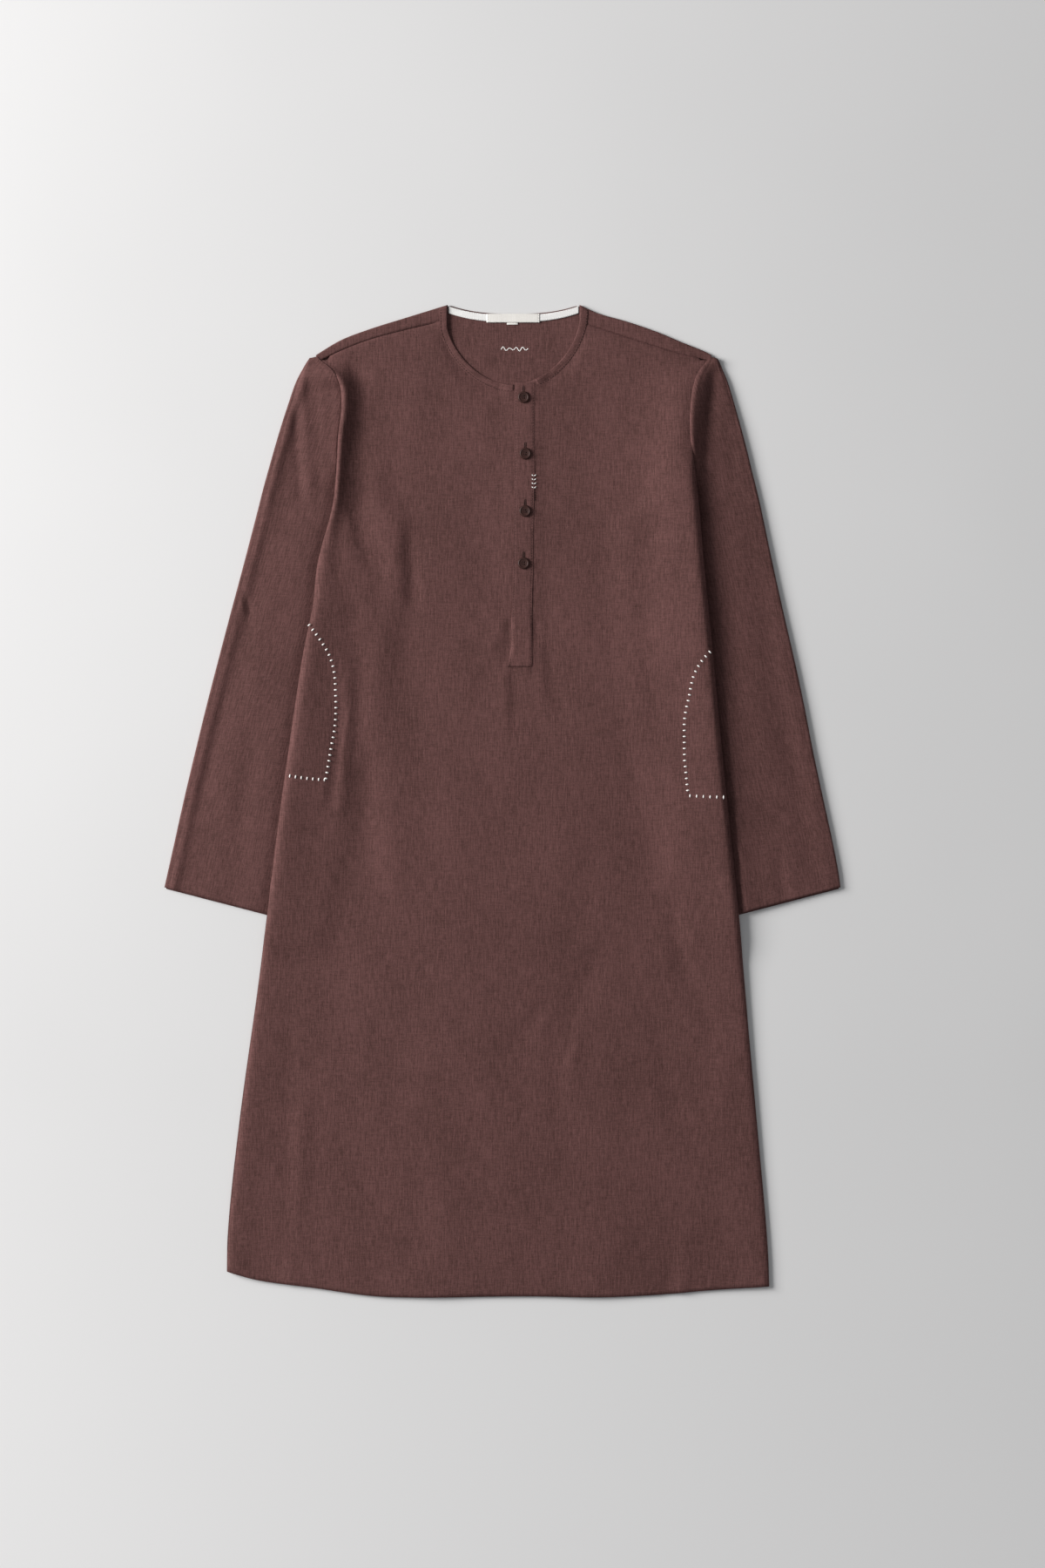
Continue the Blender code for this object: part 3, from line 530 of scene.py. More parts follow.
def armRidgeHeight(x, y):  # the fold that stands beside the left armhole and drops sharply on its inner side
    start = armRidge["start"]
    away = np.maximum(x - bodyEdge(-1, y), 0.0) + start
    reach = mix(*armRidge["inner"], smoothStep((y - armRidge["low"]) / armRidge["innerFade"]))
    return armRidge["height"] * np.exp((start / reach) ** 2 - (away / reach) ** 2) * ridgeShare(y)


pad = {
    "band": 0.7, "bandHalf": 11, "bandShift": 1, "fade": 14, "low": 130, "lowFade": 24,
    "neck": 0.55, "neckReach": 7,
}
flatNeck = {
    "aside": 15, "asideFade": 14, "from": 3, "fade": 18, "top": 508, "topFade": 24, "rise": 0.95,
}
calmArea = {"low": 110, "aside": 18, "fade": 22, "high": 380, "neckReach": 20, "neckFade": 60}


def fromNeckline(x, y):
    share = np.hypot((x - neck["x"]) / neck["halfWidth"], (y - neck["y"]) / neck["depth"])
    return (share - 1.0) * neck["depth"]


def layersBeneath(x, y):  # how much the front swells over the under placket and the binding's turned edge
    fromBand = np.abs(x - centreX + pad["bandShift"]) - pad["bandHalf"]
    band = (1.0 - smoothStep(fromBand / pad["fade"])) * smoothStep((y - pad["low"]) / pad["lowFade"])
    reach = fromNeckline(x, y) - pad["neckReach"]
    return np.maximum(pad["band"] * band, pad["neck"] * (1.0 - smoothStep(reach / pad["fade"])))


def frontLoft(x, y):
    side = sideOf(x)
    beyondRoll = np.maximum(inside(x, y) - form["roll"], 0.0)
    rollShare = np.exp(-((beyondRoll / bySide(side, *form["rollReach"])) ** form["rollPower"]))
    roll = np.maximum(edgeLoft(side, y), 0.0) * rollShare
    besideBand = smoothStep((np.abs(x - centreX) - calmArea["aside"]) / calmArea["fade"])
    belowNeck = smoothStep((neck["y"] - calmArea["neckReach"] - y) / calmArea["neckFade"])
    calm = np.where(y > calmArea["low"], besideBand, 1.0) * np.where(y > calmArea["high"], belowNeck, 1.0)
    folds = creaseHeights(frontCreases, x, y) * calm + creaseHeights(placketCreases, x, y)
    ridge = np.where(x < 0, armRidgeHeight(x, y), 0.0)
    return form["loft"] + roll + pocketLoft(x, y) + folds + ridge + layersBeneath(x, y)


def neckNear(x, y):  # 1 where the neckline lies flat on the back
    aside = smoothStep((np.abs(x - centreX) - flatNeck["aside"]) / flatNeck["asideFade"])
    near = 1.0 - smoothStep((fromNeckline(x, y) - flatNeck["from"]) / flatNeck["fade"])
    return aside * near * smoothStep((flatNeck["top"] - y) / flatNeck["topFade"])


def frontHeight(x, y):
    raised = layer + np.maximum(frontLoft(x, y), form["leastLoft"])
    return backHeight(x, y) + mix(raised, flatNeck["rise"], neckNear(x, y))


rollEnds = {"y": (436, 320), "fade": (24, 60)}  # where each side of the front stops rolling over


def rolled(y):
    return 1.0 - smoothStep((y - rollEnds["y"][1]) / rollEnds["fade"][1])


def frontRolled(side, y):  # the front's left edge stays rolled beside the armhole
    return 1.0 - smoothStep((y - bySide(side, *rollEnds["y"])) / bySide(side, *rollEnds["fade"]))


def edgeHeight(side, y, x, height, toward):  # rolls a panel over to the side seam in its last few millimetres
    rollX = bodyEdge(side, y) - side * form["roll"]
    seam = mix(backHeight(rollX, y), frontHeight(rollX, y), form["seamShare"]) + toward * form["sideSeam"] / 2
    share = np.clip((inside(x, y) - halfWall) / (form["roll"] - halfWall), 0.0, 1.0)
    rounded = mix(seam, height, np.sqrt(1.0 - (1.0 - share) ** 2))
    return mix(height, rounded, frontRolled(side, y) if toward > 0 else rolled(y))


foldRadius = (layer + form["loft"]) / 2
flatFront = halfWall + layer + form["loft"]  # the front's middle before it swells over what is beneath
seamDip = {"depth": 0.24, "width": 1.6, "tuck": 0.9, "under": 0.8, "reach": 1.2}


def dipped(away):  # how far cloth sinks at a distance from a sewn seam
    return seamDip["depth"] * np.exp(-((away / seamDip["width"]) ** 2))


def tucked(away):  # how far an edge passes below the one that covers it
    return seamDip["under"] * smoothStep(1.0 - away / seamDip["reach"])


print("form ready")

# ---- making meshes ----


def finishMesh(name, shape, material, wall=None):
    bmesh.ops.recalc_face_normals(shape, faces=shape.faces)
    piece = addObject(name, toMesh(name, shape))
    piece.data.shade_smooth()
    piece.data.materials.append(material)
    if wall:
        solid = piece.modifiers.new("wall", "SOLIDIFY")
        solid.thickness = wall * mm
        solid.offset = 0.0
    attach(piece, "root")
    return piece


def makeSheet(name, x, y, z, material, u=None, v=None, skip=None, wall=form["wall"]):
    u, v = x if u is None else u, y if v is None else v
    x, y, z, u, v = np.broadcast_arrays(x, y, z, u, v)
    rows, columns = x.shape
    shape = bmesh.new()
    bmesh.ops.create_grid(shape, x_segments=columns - 1, y_segments=rows - 1, size=1.0)
    shape.verts.ensure_lookup_table()
    places = np.stack([x, y, z], -1).reshape(-1, 3) * mm
    grainPlaces = np.stack([u, v], -1).reshape(-1, 2) * mm
    for vert, place in zip(shape.verts, places):
        vert.co = place
    shape.verts.index_update()
    grain = shape.loops.layers.uv.new("grain")
    dropped = []
    for face in shape.faces:
        for loop in face.loops:
            loop[grain].uv = grainPlaces[loop.vert.index]
        if skip is not None:
            row, column = divmod(min(vert.index for vert in face.verts), columns)
            if skip[row, column]:
                dropped.append(face)
    if dropped:
        bmesh.ops.delete(shape, geom=dropped, context="FACES")
    return finishMesh(name, shape, material, wall)


def sheetFacts(piece, node):
    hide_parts(node)


# ---- front and back panels ----

panelLook = {
    "rollSteps": 7, "sideColumns": 26, "neckColumns": 44, "backNeckColumns": 38, "lowerRows": 190,
    "upperRows": 44, "foldSteps": 9, "wrapSteps": 4, "slitHalf": 1, "slitClear": 2.5, "slitBottom": 160,
    "neckAngles": (4, 176), "neckShare": 0.99, "ripple": 0.4, "rippleLow": 0.5, "rippleFrom": -60,
    "rippleFade": 160, "rippleScale": 60, "creaseFade": 40, "grainShift": 733,
}


def panelColumns(neckXs):
    left, right = bodyEdge(-1, form["topY"]) + form["roll"], bodyEdge(1, form["topY"]) - form["roll"]
    angles = np.linspace(0.0, 90.0, panelLook["rollSteps"])
    between = np.linspace(0.0, 1.0, panelLook["sideColumns"] + 2)[1:-1]
    values = [angles, mix(left, neckXs[0], between), neckXs, mix(neckXs[-1], right, between), angles[::-1]]
    sides = [np.full(len(group), side) for group, side in zip(values, (-1, 0, 0, 0, 1))]
    return np.concatenate(sides), np.concatenate(values)


def columnX(side, value, y):
    rollInset = mix(mix(form["seam"] / 2, halfWall, rolled(y)), form["roll"], 1.0 - np.cos(np.radians(value)))
    onRoll = bodyEdge(side, y) - side * rollInset
    half = sideOf(value)
    topHalf = bodyEdge(half, form["topY"]) - half * form["roll"] - centreX
    lowHalf = bodyEdge(half, form["underarmY"]) - half * form["roll"] - centreX
    edgeHalf = bodyEdge(half, y) - half * form["roll"] - centreX
    share = (value - centreX) / topHalf
    straight = mix(lowHalf, topHalf, (y - form["underarmY"]) / (form["topY"] - form["underarmY"]))
    edgeHalf = np.where(y > form["underarmY"], mix(straight, edgeHalf, share**2), edgeHalf)
    return np.where(side == 0, centreX + share * edgeHalf, onRoll)


def panelGrid(columns, lastY, topOf):
    side, value = columns
    shares = np.linspace(0.0, 1.0, panelLook["lowerRows"] + 1)[:, None]
    base = mix(form["hemLow"], form["underarmY"], shares)
    lowX = columnX(side, value, base)
    lowY = base + (hemY(lowX) - form["hemLow"]) * (1.0 - shares) ** 3
    shares = np.linspace(0.0, 1.0, panelLook["upperRows"] + 1)[1:, None]
    edgeY = mix(form["underarmY"], lastY, shares)
    highX = columnX(side, value, edgeY)
    highY = np.where(side == 0, mix(form["underarmY"], topOf(highX), shares), edgeY)
    return np.vstack([lowX, highX]), np.vstack([lowY, highY])


def frontTop(x):
    atNeck = np.abs(x - neck["x"]) < neck["halfWidth"] * panelLook["neckShare"]
    return np.where(atNeck, necklineY(x), shoulder(x, 2) + seamDip["tuck"])


def backTop(x):
    atNeck = (x > neck["left"]) & (x < neck["right"])
    return np.where(atNeck, backNeckY(x), shoulder(x, 1) - foldRadius - halfWall)


def makeFront():
    neckXs = neckPlace(np.linspace(*panelLook["neckAngles"], panelLook["neckColumns"]))[0]
    slit = (centreX - panelLook["slitHalf"], centreX + panelLook["slitHalf"])
    neckXs = np.sort(np.concatenate([neckXs[np.abs(neckXs - centreX) > panelLook["slitClear"]], slit]))
    columns = panelColumns(neckXs)
    x, y = panelGrid(columns, form["topY"], frontTop)
    upper = smoothStep((y - panelLook["rippleFrom"]) / panelLook["rippleFade"])
    uneven = ripple(x, y, panelLook["rippleScale"], 3.0)
    z = frontHeight(x, y) + mix(panelLook["rippleLow"], 1.0, upper) * panelLook["ripple"] * uneven
    side = np.broadcast_to(columns[0], x.shape)
    z = np.where(side == 0, z, edgeHeight(np.where(side == 0, 1, side), y, x, z, 1.0))
    z = z - np.where(x < 0, 0.0, dipped(inside(x, y))) * (1.0 - rolled(y))
    besideNeck = np.abs(x - neck["x"]) > neck["halfWidth"]
    z = z - np.where(besideNeck, tucked(shoulder(x, 2) - form["shoulderGap"] - y), 0.0)
    slitColumn = int(np.searchsorted(columns[1][columns[0] == 0], slit[0] - 0.01)) + panelLook["rollSteps"]
    skip = np.zeros(x.shape, bool)
    skip[:, slitColumn] = y[:, slitColumn] > panelLook["slitBottom"]
    piece = makeSheet("frontPanel", x, y, z, cloths["kurtaCloth"], skip=skip)
    sheetFacts(piece, "front")


def makeBack():
    neckXs = np.linspace(neck["left"], neck["right"], panelLook["backNeckColumns"])
    columns = panelColumns(neckXs)
    x, y = panelGrid(columns, form["foldEndY"], backTop)
    room = smoothStep(inside(x, y) / panelLook["creaseFade"])
    z = backHeight(x, y) + np.maximum(creaseHeights(backCreases, x, y), 0.0) * room
    side = np.broadcast_to(columns[0], x.shape)
    z = np.where(side == 0, z, edgeHeight(np.where(side == 0, 1, side), y, x, backHeight(x, y), -1.0))
    topX, topZ = x[-1], z[-1]
    topY = shoulder(topX, 1) - foldRadius - halfWall
    y[-1] = np.where((topX > neck["left"]) & (topX < neck["right"]), y[-1], topY)
    turn = np.radians(np.linspace(0.0, 180.0, panelLook["foldSteps"] + 1))[1:, None]
    foldX = np.broadcast_to(topX, (panelLook["foldSteps"], len(topX)))
    foldY = topY + foldRadius * np.sin(turn)
    foldZ = topZ + foldRadius * (1.0 - np.cos(turn))
    seamX = columnX(columns[0], columns[1], np.full(len(topX), form["topY"]))
    seamY = shoulder(seamX, 2) - form["shoulderGap"]
    shares = np.linspace(0.0, 1.0, panelLook["wrapSteps"] + 1)[1:, None]
    wrapX, wrapY = mix(topX, seamX, shares), mix(topY, seamY, shares)
    wrapZ = mix(foldZ[-1], halfWall + 2 * foldRadius, shares) - dipped(wrapY - seamY)
    rows = x.shape[0]
    x, y, z = np.vstack([x, foldX, wrapX]), np.vstack([y, foldY, wrapY]), np.vstack([z, foldZ, wrapZ])
    skip = np.zeros(x.shape, bool)
    first = panelLook["rollSteps"] + panelLook["sideColumns"]
    skip[rows - 1:, first:first + len(neckXs) - 1] = True
    piece = makeSheet("backPanel", x, y, z, cloths["kurtaCloth"], u=x + panelLook["grainShift"], skip=skip)
    sheetFacts(piece, "back")


makeFront()
makeBack()
print("front and back made")

# ---- sleeves ----

sleeveLook = {
    "levels": 150, "topSteps": 34, "foldSteps": 8, "underSteps": 10, "cuffLip": 1.6, "cuffReach": 30,
    "seamY": 322, "sewnOver": {-1: 46, 1: 60}, "tuckShift": {-1: 2.2, 1: 0}, "leastTuck": 0.3,
    "ridge": {-1: (2.4, 8, 6), 1: (0.9, 8, 8)}, "ridgeFade": 40, "edge": 0.5,
    "shownFrom": 326, "shownOver": 50, "band": {-1: 0.5, 1: 0.6}, "bandFade": 3,
    "bead": {-1: (0, 3, 3), 1: (0.2, 3, 3)}, "lean": {-1: 1.2, 1: 2.2}, "leanOver": 7,
    "leanNear": 0.5, "leanNearReach": 16, "leastReach": 20, "swell": 1.5,
    "swellReach": {-1: 26, 1: 7}, "creaseFrom": 2, "creaseOver": 10, "ripple": 0.3,
    "rippleScale": 50, "rippleOver": 12, "crowd": 1.25, "foldShare": 0.07, "liftOver": 26,
    "grainShift": 1480, "grainStretch": 1.04,
}
fallRows = {  # y, how far out the raised seam reaches, and over how long it then falls
    -1: ((318, 5, 40), (345, 5, 44), (474, 5, 44)),
    1: ((318, 0, 12), (345, 0.2, 11), (372, 1.2, 12), (390, 2, 14), (422, 2.6, 18),
        (445, 3.2, 19), (460, 4, 16), (474, 4, 14)),
}
sleeveCreases = {
    -1: ((-212, 440, -206, 340, 5, 1.3, 0), (-222, 420, -216, 330, 5, -1.1, 0),
        (-198, 430, -194, 350, 4, -1, 0), (-236, 360, -246, 300, 9, 0.9, 0),
        (-279.5, 237, -271.5, 204, 2, -1.3, 0), (-282, 228, -276, 200, 3, 0.8, 0),
        (-271, 204, -272, 176, 2.2, -0.7, 0), (-250, 200, -262, 120, 14, 0.9, 0),
        (-300, 100, -322, 0, 9, -0.8, 0), (-290, 0, -306, -90, 14, 0.8, 0),
        (-268, 60, -280, -20, 10, -0.7, 0)),
    1: ((222, 446, 221, 404, 8, -1.6, 0), (232, 410, 236, 340, 9, 0.8, 0), (250, 330, 256, 250, 12, 0.8, 0),
        (262, 180, 280, 60, 16, 1, 0), (296, -68, 300, -96, 4, -1.2, 0), (306, 60, 326, -60, 10, -0.8, 0),
        (240, 210, 246, 120, 10, -0.7, 0), (300, 150, 318, 60, 10, 0.7, 0)),
}


def sleeveTop(side, x, y, outerX):  # the upper layer's middle: low under the body, raised beyond it
    look = sleeveLook
    edge = bodyEdge(side, y)
    beyond = side * (x - edge)
    pastEdge = beyond - look["edge"]
    height = halfWall + layer + look["swell"] * smoothStep(pastEdge / look["swellReach"][side])
    amount, at, width = look["ridge"][side]
    away = side * (outerX - x) - at
    height = height + amount * np.exp(-((away / width) ** 2)) * smoothStep(beyond / look["ridgeFade"])
    creased = smoothStep((beyond - look["creaseFrom"]) / look["creaseOver"])
    height = height + creaseHeights(sleeveCreases[side], x, y) * creased
    reach = np.maximum(side * (outerX - edge), look["leastReach"])
    near = look["leanNear"] * np.exp(-((beyond / look["leanNearReach"]) ** 2))
    lean = np.clip(1.0 - beyond / reach, 0.0, 1.0) + near
    height = height + look["lean"][side] * lean * smoothStep(pastEdge / look["leanOver"])
    uneven = ripple(x, y, look["rippleScale"], 7.0) * smoothStep(beyond / look["rippleOver"])
    height = height + look["ripple"] * uneven
    seam = edgeHeight(side, y, edge, frontHeight(edge, y), 1.0)
    sewn = smoothStep((y - look["seamY"]) / look["sewnOver"][side])
    shelf, fall = (onCurve(fallRows[side], column, y) for column in (1, 2))
    fallen = smoothStep((beyond - shelf) / fall)
    high = mix(height, np.maximum(seam, height), sewn * (1.0 - fallen))
    shown = smoothStep((y - look["shownFrom"]) / look["shownOver"])
    band = look["band"][side] * (1.0 - smoothStep((beyond - shelf) / look["bandFade"])) * shown
    amount, at, width = look["bead"][side]
    band = band + amount * np.exp(-(((beyond - at) / width) ** 2)) * shown
    return high + band - tucked(beyond + look["tuckShift"][side]) * np.maximum(sewn, look["leastTuck"])


def makeSleeve(name, side, node):
    look = sleeveLook
    lowest = sleeveRows[0][0]
    level = np.concatenate([
        np.linspace(lowest, form["underarmY"], look["levels"]),
        np.linspace(form["underarmY"], form["foldEndY"], look["levels"] // 3)[1:]])[:, None]
    columns = (1, 2, 6) if side < 0 else (3, 4, 6)
    outerX, outerY, halfFold = (onCurve(sleeveRows, column, level) for column in columns)
    tuck = np.interp(level, *zip(*((row[0], row[5]) for row in sleeveRows)))
    innerX = bodyEdge(side, level) - side * (tuck + seamDip["tuck"])
    foldX = outerX - side * (halfFold + halfWall)
    share = np.linspace(1.0, 0.0, look["topSteps"]) ** look["crowd"]
    topX, topY = mix(foldX, innerX, share), mix(outerY, level, share)
    topZ = sleeveTop(side, topX, topY, outerX)
    topZ = mix(halfWall + 2 * halfFold, topZ, smoothStep(share / look["foldShare"]))
    turn = np.radians(np.linspace(0.0, 180.0, look["foldSteps"] + 1))[1:-1]
    ringX = foldX + side * halfFold * np.sin(turn)
    ringY = np.broadcast_to(outerY, ringX.shape)
    ringZ = halfWall + halfFold * (1.0 + np.cos(turn))
    lift = backHeight(bodyEdge(side, level), level) - halfWall
    lift = lift * smoothStep((level - look["shownFrom"]) / look["liftOver"])
    share = np.linspace(0.0, 1.0, look["underSteps"])
    lowX, lowY = mix(foldX, innerX, share), mix(outerY, level, share)
    nearCuff = smoothStep(1.0 - (level - lowest) / look["cuffReach"])
    lowY = lowY - look["cuffLip"] * nearCuff
    lowZ = halfWall + lift * smoothStep((share - 0.5) / 0.5)  # only its inner half rises to the seam
    x, y, z = np.hstack([topX, ringX, lowX]), np.hstack([topY, ringY, lowY]), np.hstack([topZ, ringZ, lowZ])
    stepAcross = np.hypot(np.diff(x, axis=1), np.diff(z, axis=1))
    u = np.hstack([np.zeros_like(level), np.cumsum(stepAcross, axis=1)])
    u = side * (u - u[:, look["topSteps"] - 1:look["topSteps"]] + look["grainShift"])
    v = np.broadcast_to(level * look["grainStretch"], x.shape)
    piece = makeSheet(name, x, y, z, cloths["kurtaCloth"], u=u, v=v)
    sheetFacts(piece, node)


makeSleeve("sleeveLeft", -1, "sleeve_left")
makeSleeve("sleeveRight", 1, "sleeve_right")
print("sleeves made")

# ---- placket, neck bindings and pockets ----

bandRows = (  # y, left edge, right edge
    (143, 5.6, 31.3), (165, 9.2, 32.2), (197, 9.9, 31.4), (250, 11, 32.4), (350, 12.5, 33.9),
    (446, 12.7, 34.1),
)
bandLook = {
    "width": 21.5, "top": 446, "bottom": 143, "rise": 0.8, "columns": 25, "rows": 150, "press": 0.32,
    "edge": 1.3, "groove": 0.22, "grooveAt": 1.6, "grooveHalf": 0.6, "pucker": 0.1, "unevenness": 0.12,
    "waver": 0.2, "waverLength": 17, "grainShift": 91,
}
underLook = {"inset": 1, "columns": 7, "rows": 40, "grainShift": 191}


def groove(look, away):  # how far cloth sinks along the line of stitches beside its edge
    return look["groove"] * np.exp(-(((away - look["grooveAt"]) / look["grooveHalf"]) ** 2))


def makePlackets():
    look, half = bandLook, bandLook["width"] / 2
    across = np.sin(np.linspace(-math.pi / 2, math.pi / 2, look["columns"]))[None, :]
    y = np.linspace(look["bottom"], look["top"], look["rows"])[:, None] + 0.0 * across
    x = mix(onCurve(bandRows, 1, y), onCurve(bandRows, 2, y), (across + 1.0) / 2)
    x = x + look["waver"] * np.sin(y / look["waverLength"])
    fromEdge = half * (1.0 - np.abs(across))
    drop = sum(np.exp(-(away / look["edge"]) ** 2) for away in (fromEdge, y - look["bottom"]))
    drop = look["press"] * drop + groove(look, fromEdge)
    pucker = look["pucker"] * ripple(x, y, 7.0, 11.0) + look["unevenness"] * ripple(x, y * 0.4, 16.0, 5.0)
    z = frontHeight(x, y) + look["rise"] - drop + pucker
    band = makeSheet("placketBand", x, y, z, cloths["kurtaCloth"], u=x + look["grainShift"])
    sheetFacts(band, "placket")
    look, inset = underLook, underLook["inset"]
    share = np.linspace(-1.0, 1.0, look["columns"])[None, :]
    y = np.linspace(bandLook["bottom"] - inset, bandLook["top"] - inset, look["rows"])[:, None] + 0.0 * share
    x = centreX + share * (half - inset)
    z = np.full_like(x, flatFront - layer)
    under = makeSheet("underPlacketBand", x, y, z, cloths["kurtaCloth"], u=x + look["grainShift"])
    sheetFacts(under, "under_placket")


bindingLook = {
    "width": 8, "columns": 13, "crowd": 0.9, "step": 2, "rise": 0.66, "wall": 0.4, "inner": 1,
    "innerDrop": 0.3, "outerFrom": 3, "outerDrop": 0.34, "groove": 0.14, "grooveAt": 6.9,
    "grooveHalf": 0.6, "unevenness": 0.12, "bandGap": 0.3, "endsAt": 529.5, "endInset": 0.8,
    "bendFrom": 3, "bendLimit": 4.4, "bend": 0.09, "smoothing": 7, "grainShift": 300, "grainApart": 60,
}


def bindingPath(side):
    clear = bandLook["width"] / 2 + bindingLook["bandGap"]
    stop = centreX + side * clear
    edge = neck["left"] - 1.0 if side < 0 else neck["right"] + 1.0
    degrees = np.linspace(0.0, 180.0, 260) if side < 0 else np.linspace(180.0, 0.0, 260)
    xs, ys = neckPlace(degrees)
    keep = side * (xs - stop) > 0.0
    keep &= side * (edge - xs) > 0.0
    xs = np.concatenate([[edge, edge], xs[keep], [stop]])
    ys = np.concatenate([[bindingLook["endsAt"], neck["y"]], ys[keep], [necklineY(stop)]])
    return resample(np.stack([xs, ys], -1), bindingLook["step"])


def resample(path, step):  # places at equal steps along a line of (x, y) places
    lengths = np.concatenate([[0.0], np.cumsum(np.hypot(*np.diff(path, axis=0).T))])
    count = max(int(round(lengths[-1] / step)), 1)
    at = np.linspace(0.0, lengths[-1], count + 1)
    return np.stack([np.interp(at, lengths, path[:, 0]), np.interp(at, lengths, path[:, 1])], -1)


def leftOf(path):  # unit vectors to the left of each place on a line
    run = np.gradient(path, axis=0)
    run /= np.maximum(np.linalg.norm(run, axis=1, keepdims=True), 1e-9)
    return np.stack([-run[:, 1], run[:, 0]], -1)


def makeBinding(name, side, node):
    look = bindingLook
    path = bindingPath(side)
    normal = leftOf(path) * side
    kernel = np.ones(look["smoothing"]) / look["smoothing"]
    padded = np.pad(normal, ((look["smoothing"] // 2,) * 2, (0, 0)), mode="edge")
    smooth = np.stack([np.convolve(padded[:, axis], kernel, mode="valid") for axis in (0, 1)], -1)
    away = np.linspace(0.0, 1.0, look["columns"])[None, :] ** look["crowd"] * look["width"]
    x = path[:, :1] + smooth[:, :1] * away
    y = path[:, 1:] + smooth[:, 1:] * away
    drop = look["innerDrop"] * np.exp(-((away / look["inner"]) ** 2))
    outer = smoothStep((away - look["outerFrom"]) / (look["width"] - look["outerFrom"]))
    drop = drop + look["outerDrop"] * outer + groove(look, away)
    z = frontHeight(x, y) + look["rise"] - drop + look["unevenness"] * ripple(x, y, 6.0, 23.0)
    top = shoulder(x, 1) - look["endInset"]
    over = np.clip(y - top + look["bendFrom"], 0.0, look["bendLimit"])
    y = np.minimum(y, top)
    z = z - look["bend"] * over**2
    length = np.concatenate([[0.0], np.cumsum(np.hypot(*np.diff(path, axis=0).T))])[:, None]
    u, v = away + look["grainShift"] + look["grainApart"] * side, length + 0.0 * away
    sheetFacts(makeSheet(name, x, y, z, cloths["kurtaCloth"], u=u, v=v, wall=look["wall"]), node)


pocketLook = {"inset": 11, "drop": 0.8, "rows": 46, "columns": 14, "low": {-1: 16, 1: 0}}
pocketRows = {  # y, how far in the bag reaches
    -1: ((0, -178), (36, -176), (60, -171.5), (90, -168.5), (115, -168.5), (140, -170), (160, -174),
         (180, -184), (196, -190)),
    1: ((0, 192), (16, 189), (36, 186.5), (60, 185), (90, 185), (115, 187), (140, 192),
        (160, 200)),
}


def makePocket(name, side, node):
    rows = pocketRows[side]
    y = np.linspace(pocketLook["low"][side], rows[-1][0], pocketLook["rows"])[:, None]
    edge = bodyEdge(side, y) - side * pocketLook["inset"]
    x = mix(edge, onCurve(rows, 1, y), np.linspace(0.0, 1.0, pocketLook["columns"])[None, :])
    y = y + 0.0 * x
    z = frontHeight(x, y) - layer - pocketLook["drop"]
    sheetFacts(makeSheet(name, x, y, z, cloths["pocketCloth"]), node)


makePlackets()
makeBinding("neckBindingLeft", -1, "neck_binding_left")
makeBinding("neckBindingRight", 1, "neck_binding_right")
makePocket("pocketBagLeft", -1, "pocket_left")
makePocket("pocketBagRight", 1, "pocket_right")
print("placket, bindings and pockets made")

# ---- tape, label and tab inside the back neck ----

tapeLook = {"width": 7.4, "inset": 1.4, "endGap": 0.6, "press": 0.15, "edge": 0.1, "unevenness": 0.1}
trimRows = {  # middle x and y, width, length, how far it stands above the tape, a name that nothing reads, node
    "neckLabel": (11.5, 515.2, 57, 9.2, 0.7, "label", "label"),
    "sizeTab": (10.5, 509.8, 11.6, 2.9, 0, "labelTab", "label_tab"),
}
trimLook = {"wall": 0.4, "press": 0.3, "edge": 1.6, "unevenness": 0.12}


def makeNeckTrims():
    look, z = tapeLook, halfWall + layer
    across = np.linspace(0.0, 1.0, 9)[:, None]
    x = np.linspace(neck["left"] + look["endGap"], neck["right"] - look["endGap"], 130)[None, :]
    x = x + 0.0 * across
    y = backNeckY(x) - look["inset"] - look["width"] * across
    press = look["press"] * np.exp(-((np.minimum(across, 1.0 - across) / look["edge"]) ** 2))
    tapeZ = z - press + look["unevenness"] * ripple(x, y, 11.0, 31.0)
    tape = makeSheet("neckTape", x, y, tapeZ, cloths["whiteTape"], u=y, v=x)
    sheetFacts(tape, "back_neck_tape")
    look = trimLook
    for name, (midX, midY, width, length, rise, facts, node) in trimRows.items():
        across = np.linspace(-0.5, 0.5, 9)[:, None]
        x = midX + width * np.linspace(-0.5, 0.5, 41)[None, :] + 0.0 * across
        y = midY + length * across + 0.0 * x
        ends = np.exp(-(((width / 2 - np.abs(x - midX)) / look["edge"]) ** 2))
        labelZ = z + rise - look["press"] * ends + look["unevenness"] * ripple(x, y, 14.0, 37.0)
        label = makeSheet(name, x, y, labelZ, cloths["whiteLabel"], wall=look["wall"])
        sheetFacts(label, node)


makeNeckTrims()

# ---- buttons ----

buttonLook = {
    "radius": 6.3, "thickness": 2.2, "lift": 0.3, "floor": 0.74, "hole": 0.62, "holeAt": 1.15, "steps": 64,
    "holeSteps": 20, "cutDepth": 10,
    "profile": (  # share of the radius, share of the thickness
        (0, 0.74), (0.4, 0.74), (0.47, 0.79), (0.52, 0.79), (0.57, 0.76), (0.63, 0.82), (0.7, 0.94),
        (0.77, 0.99), (0.84, 0.97), (0.91, 0.86), (0.97, 0.66), (1, 0.45), (0.97, 0.24), (0.88, 0.08),
        (0.72, 0), (0, 0),
    ),
}
buttonRows = ((22.6, 430.4, 4), (24.4, 370.3, -8), (24.2, 309.1, 11), (22.6, 253.4, -3))  # x, y, turn
buttonBase = flatFront + layer + halfWall + buttonLook["lift"]


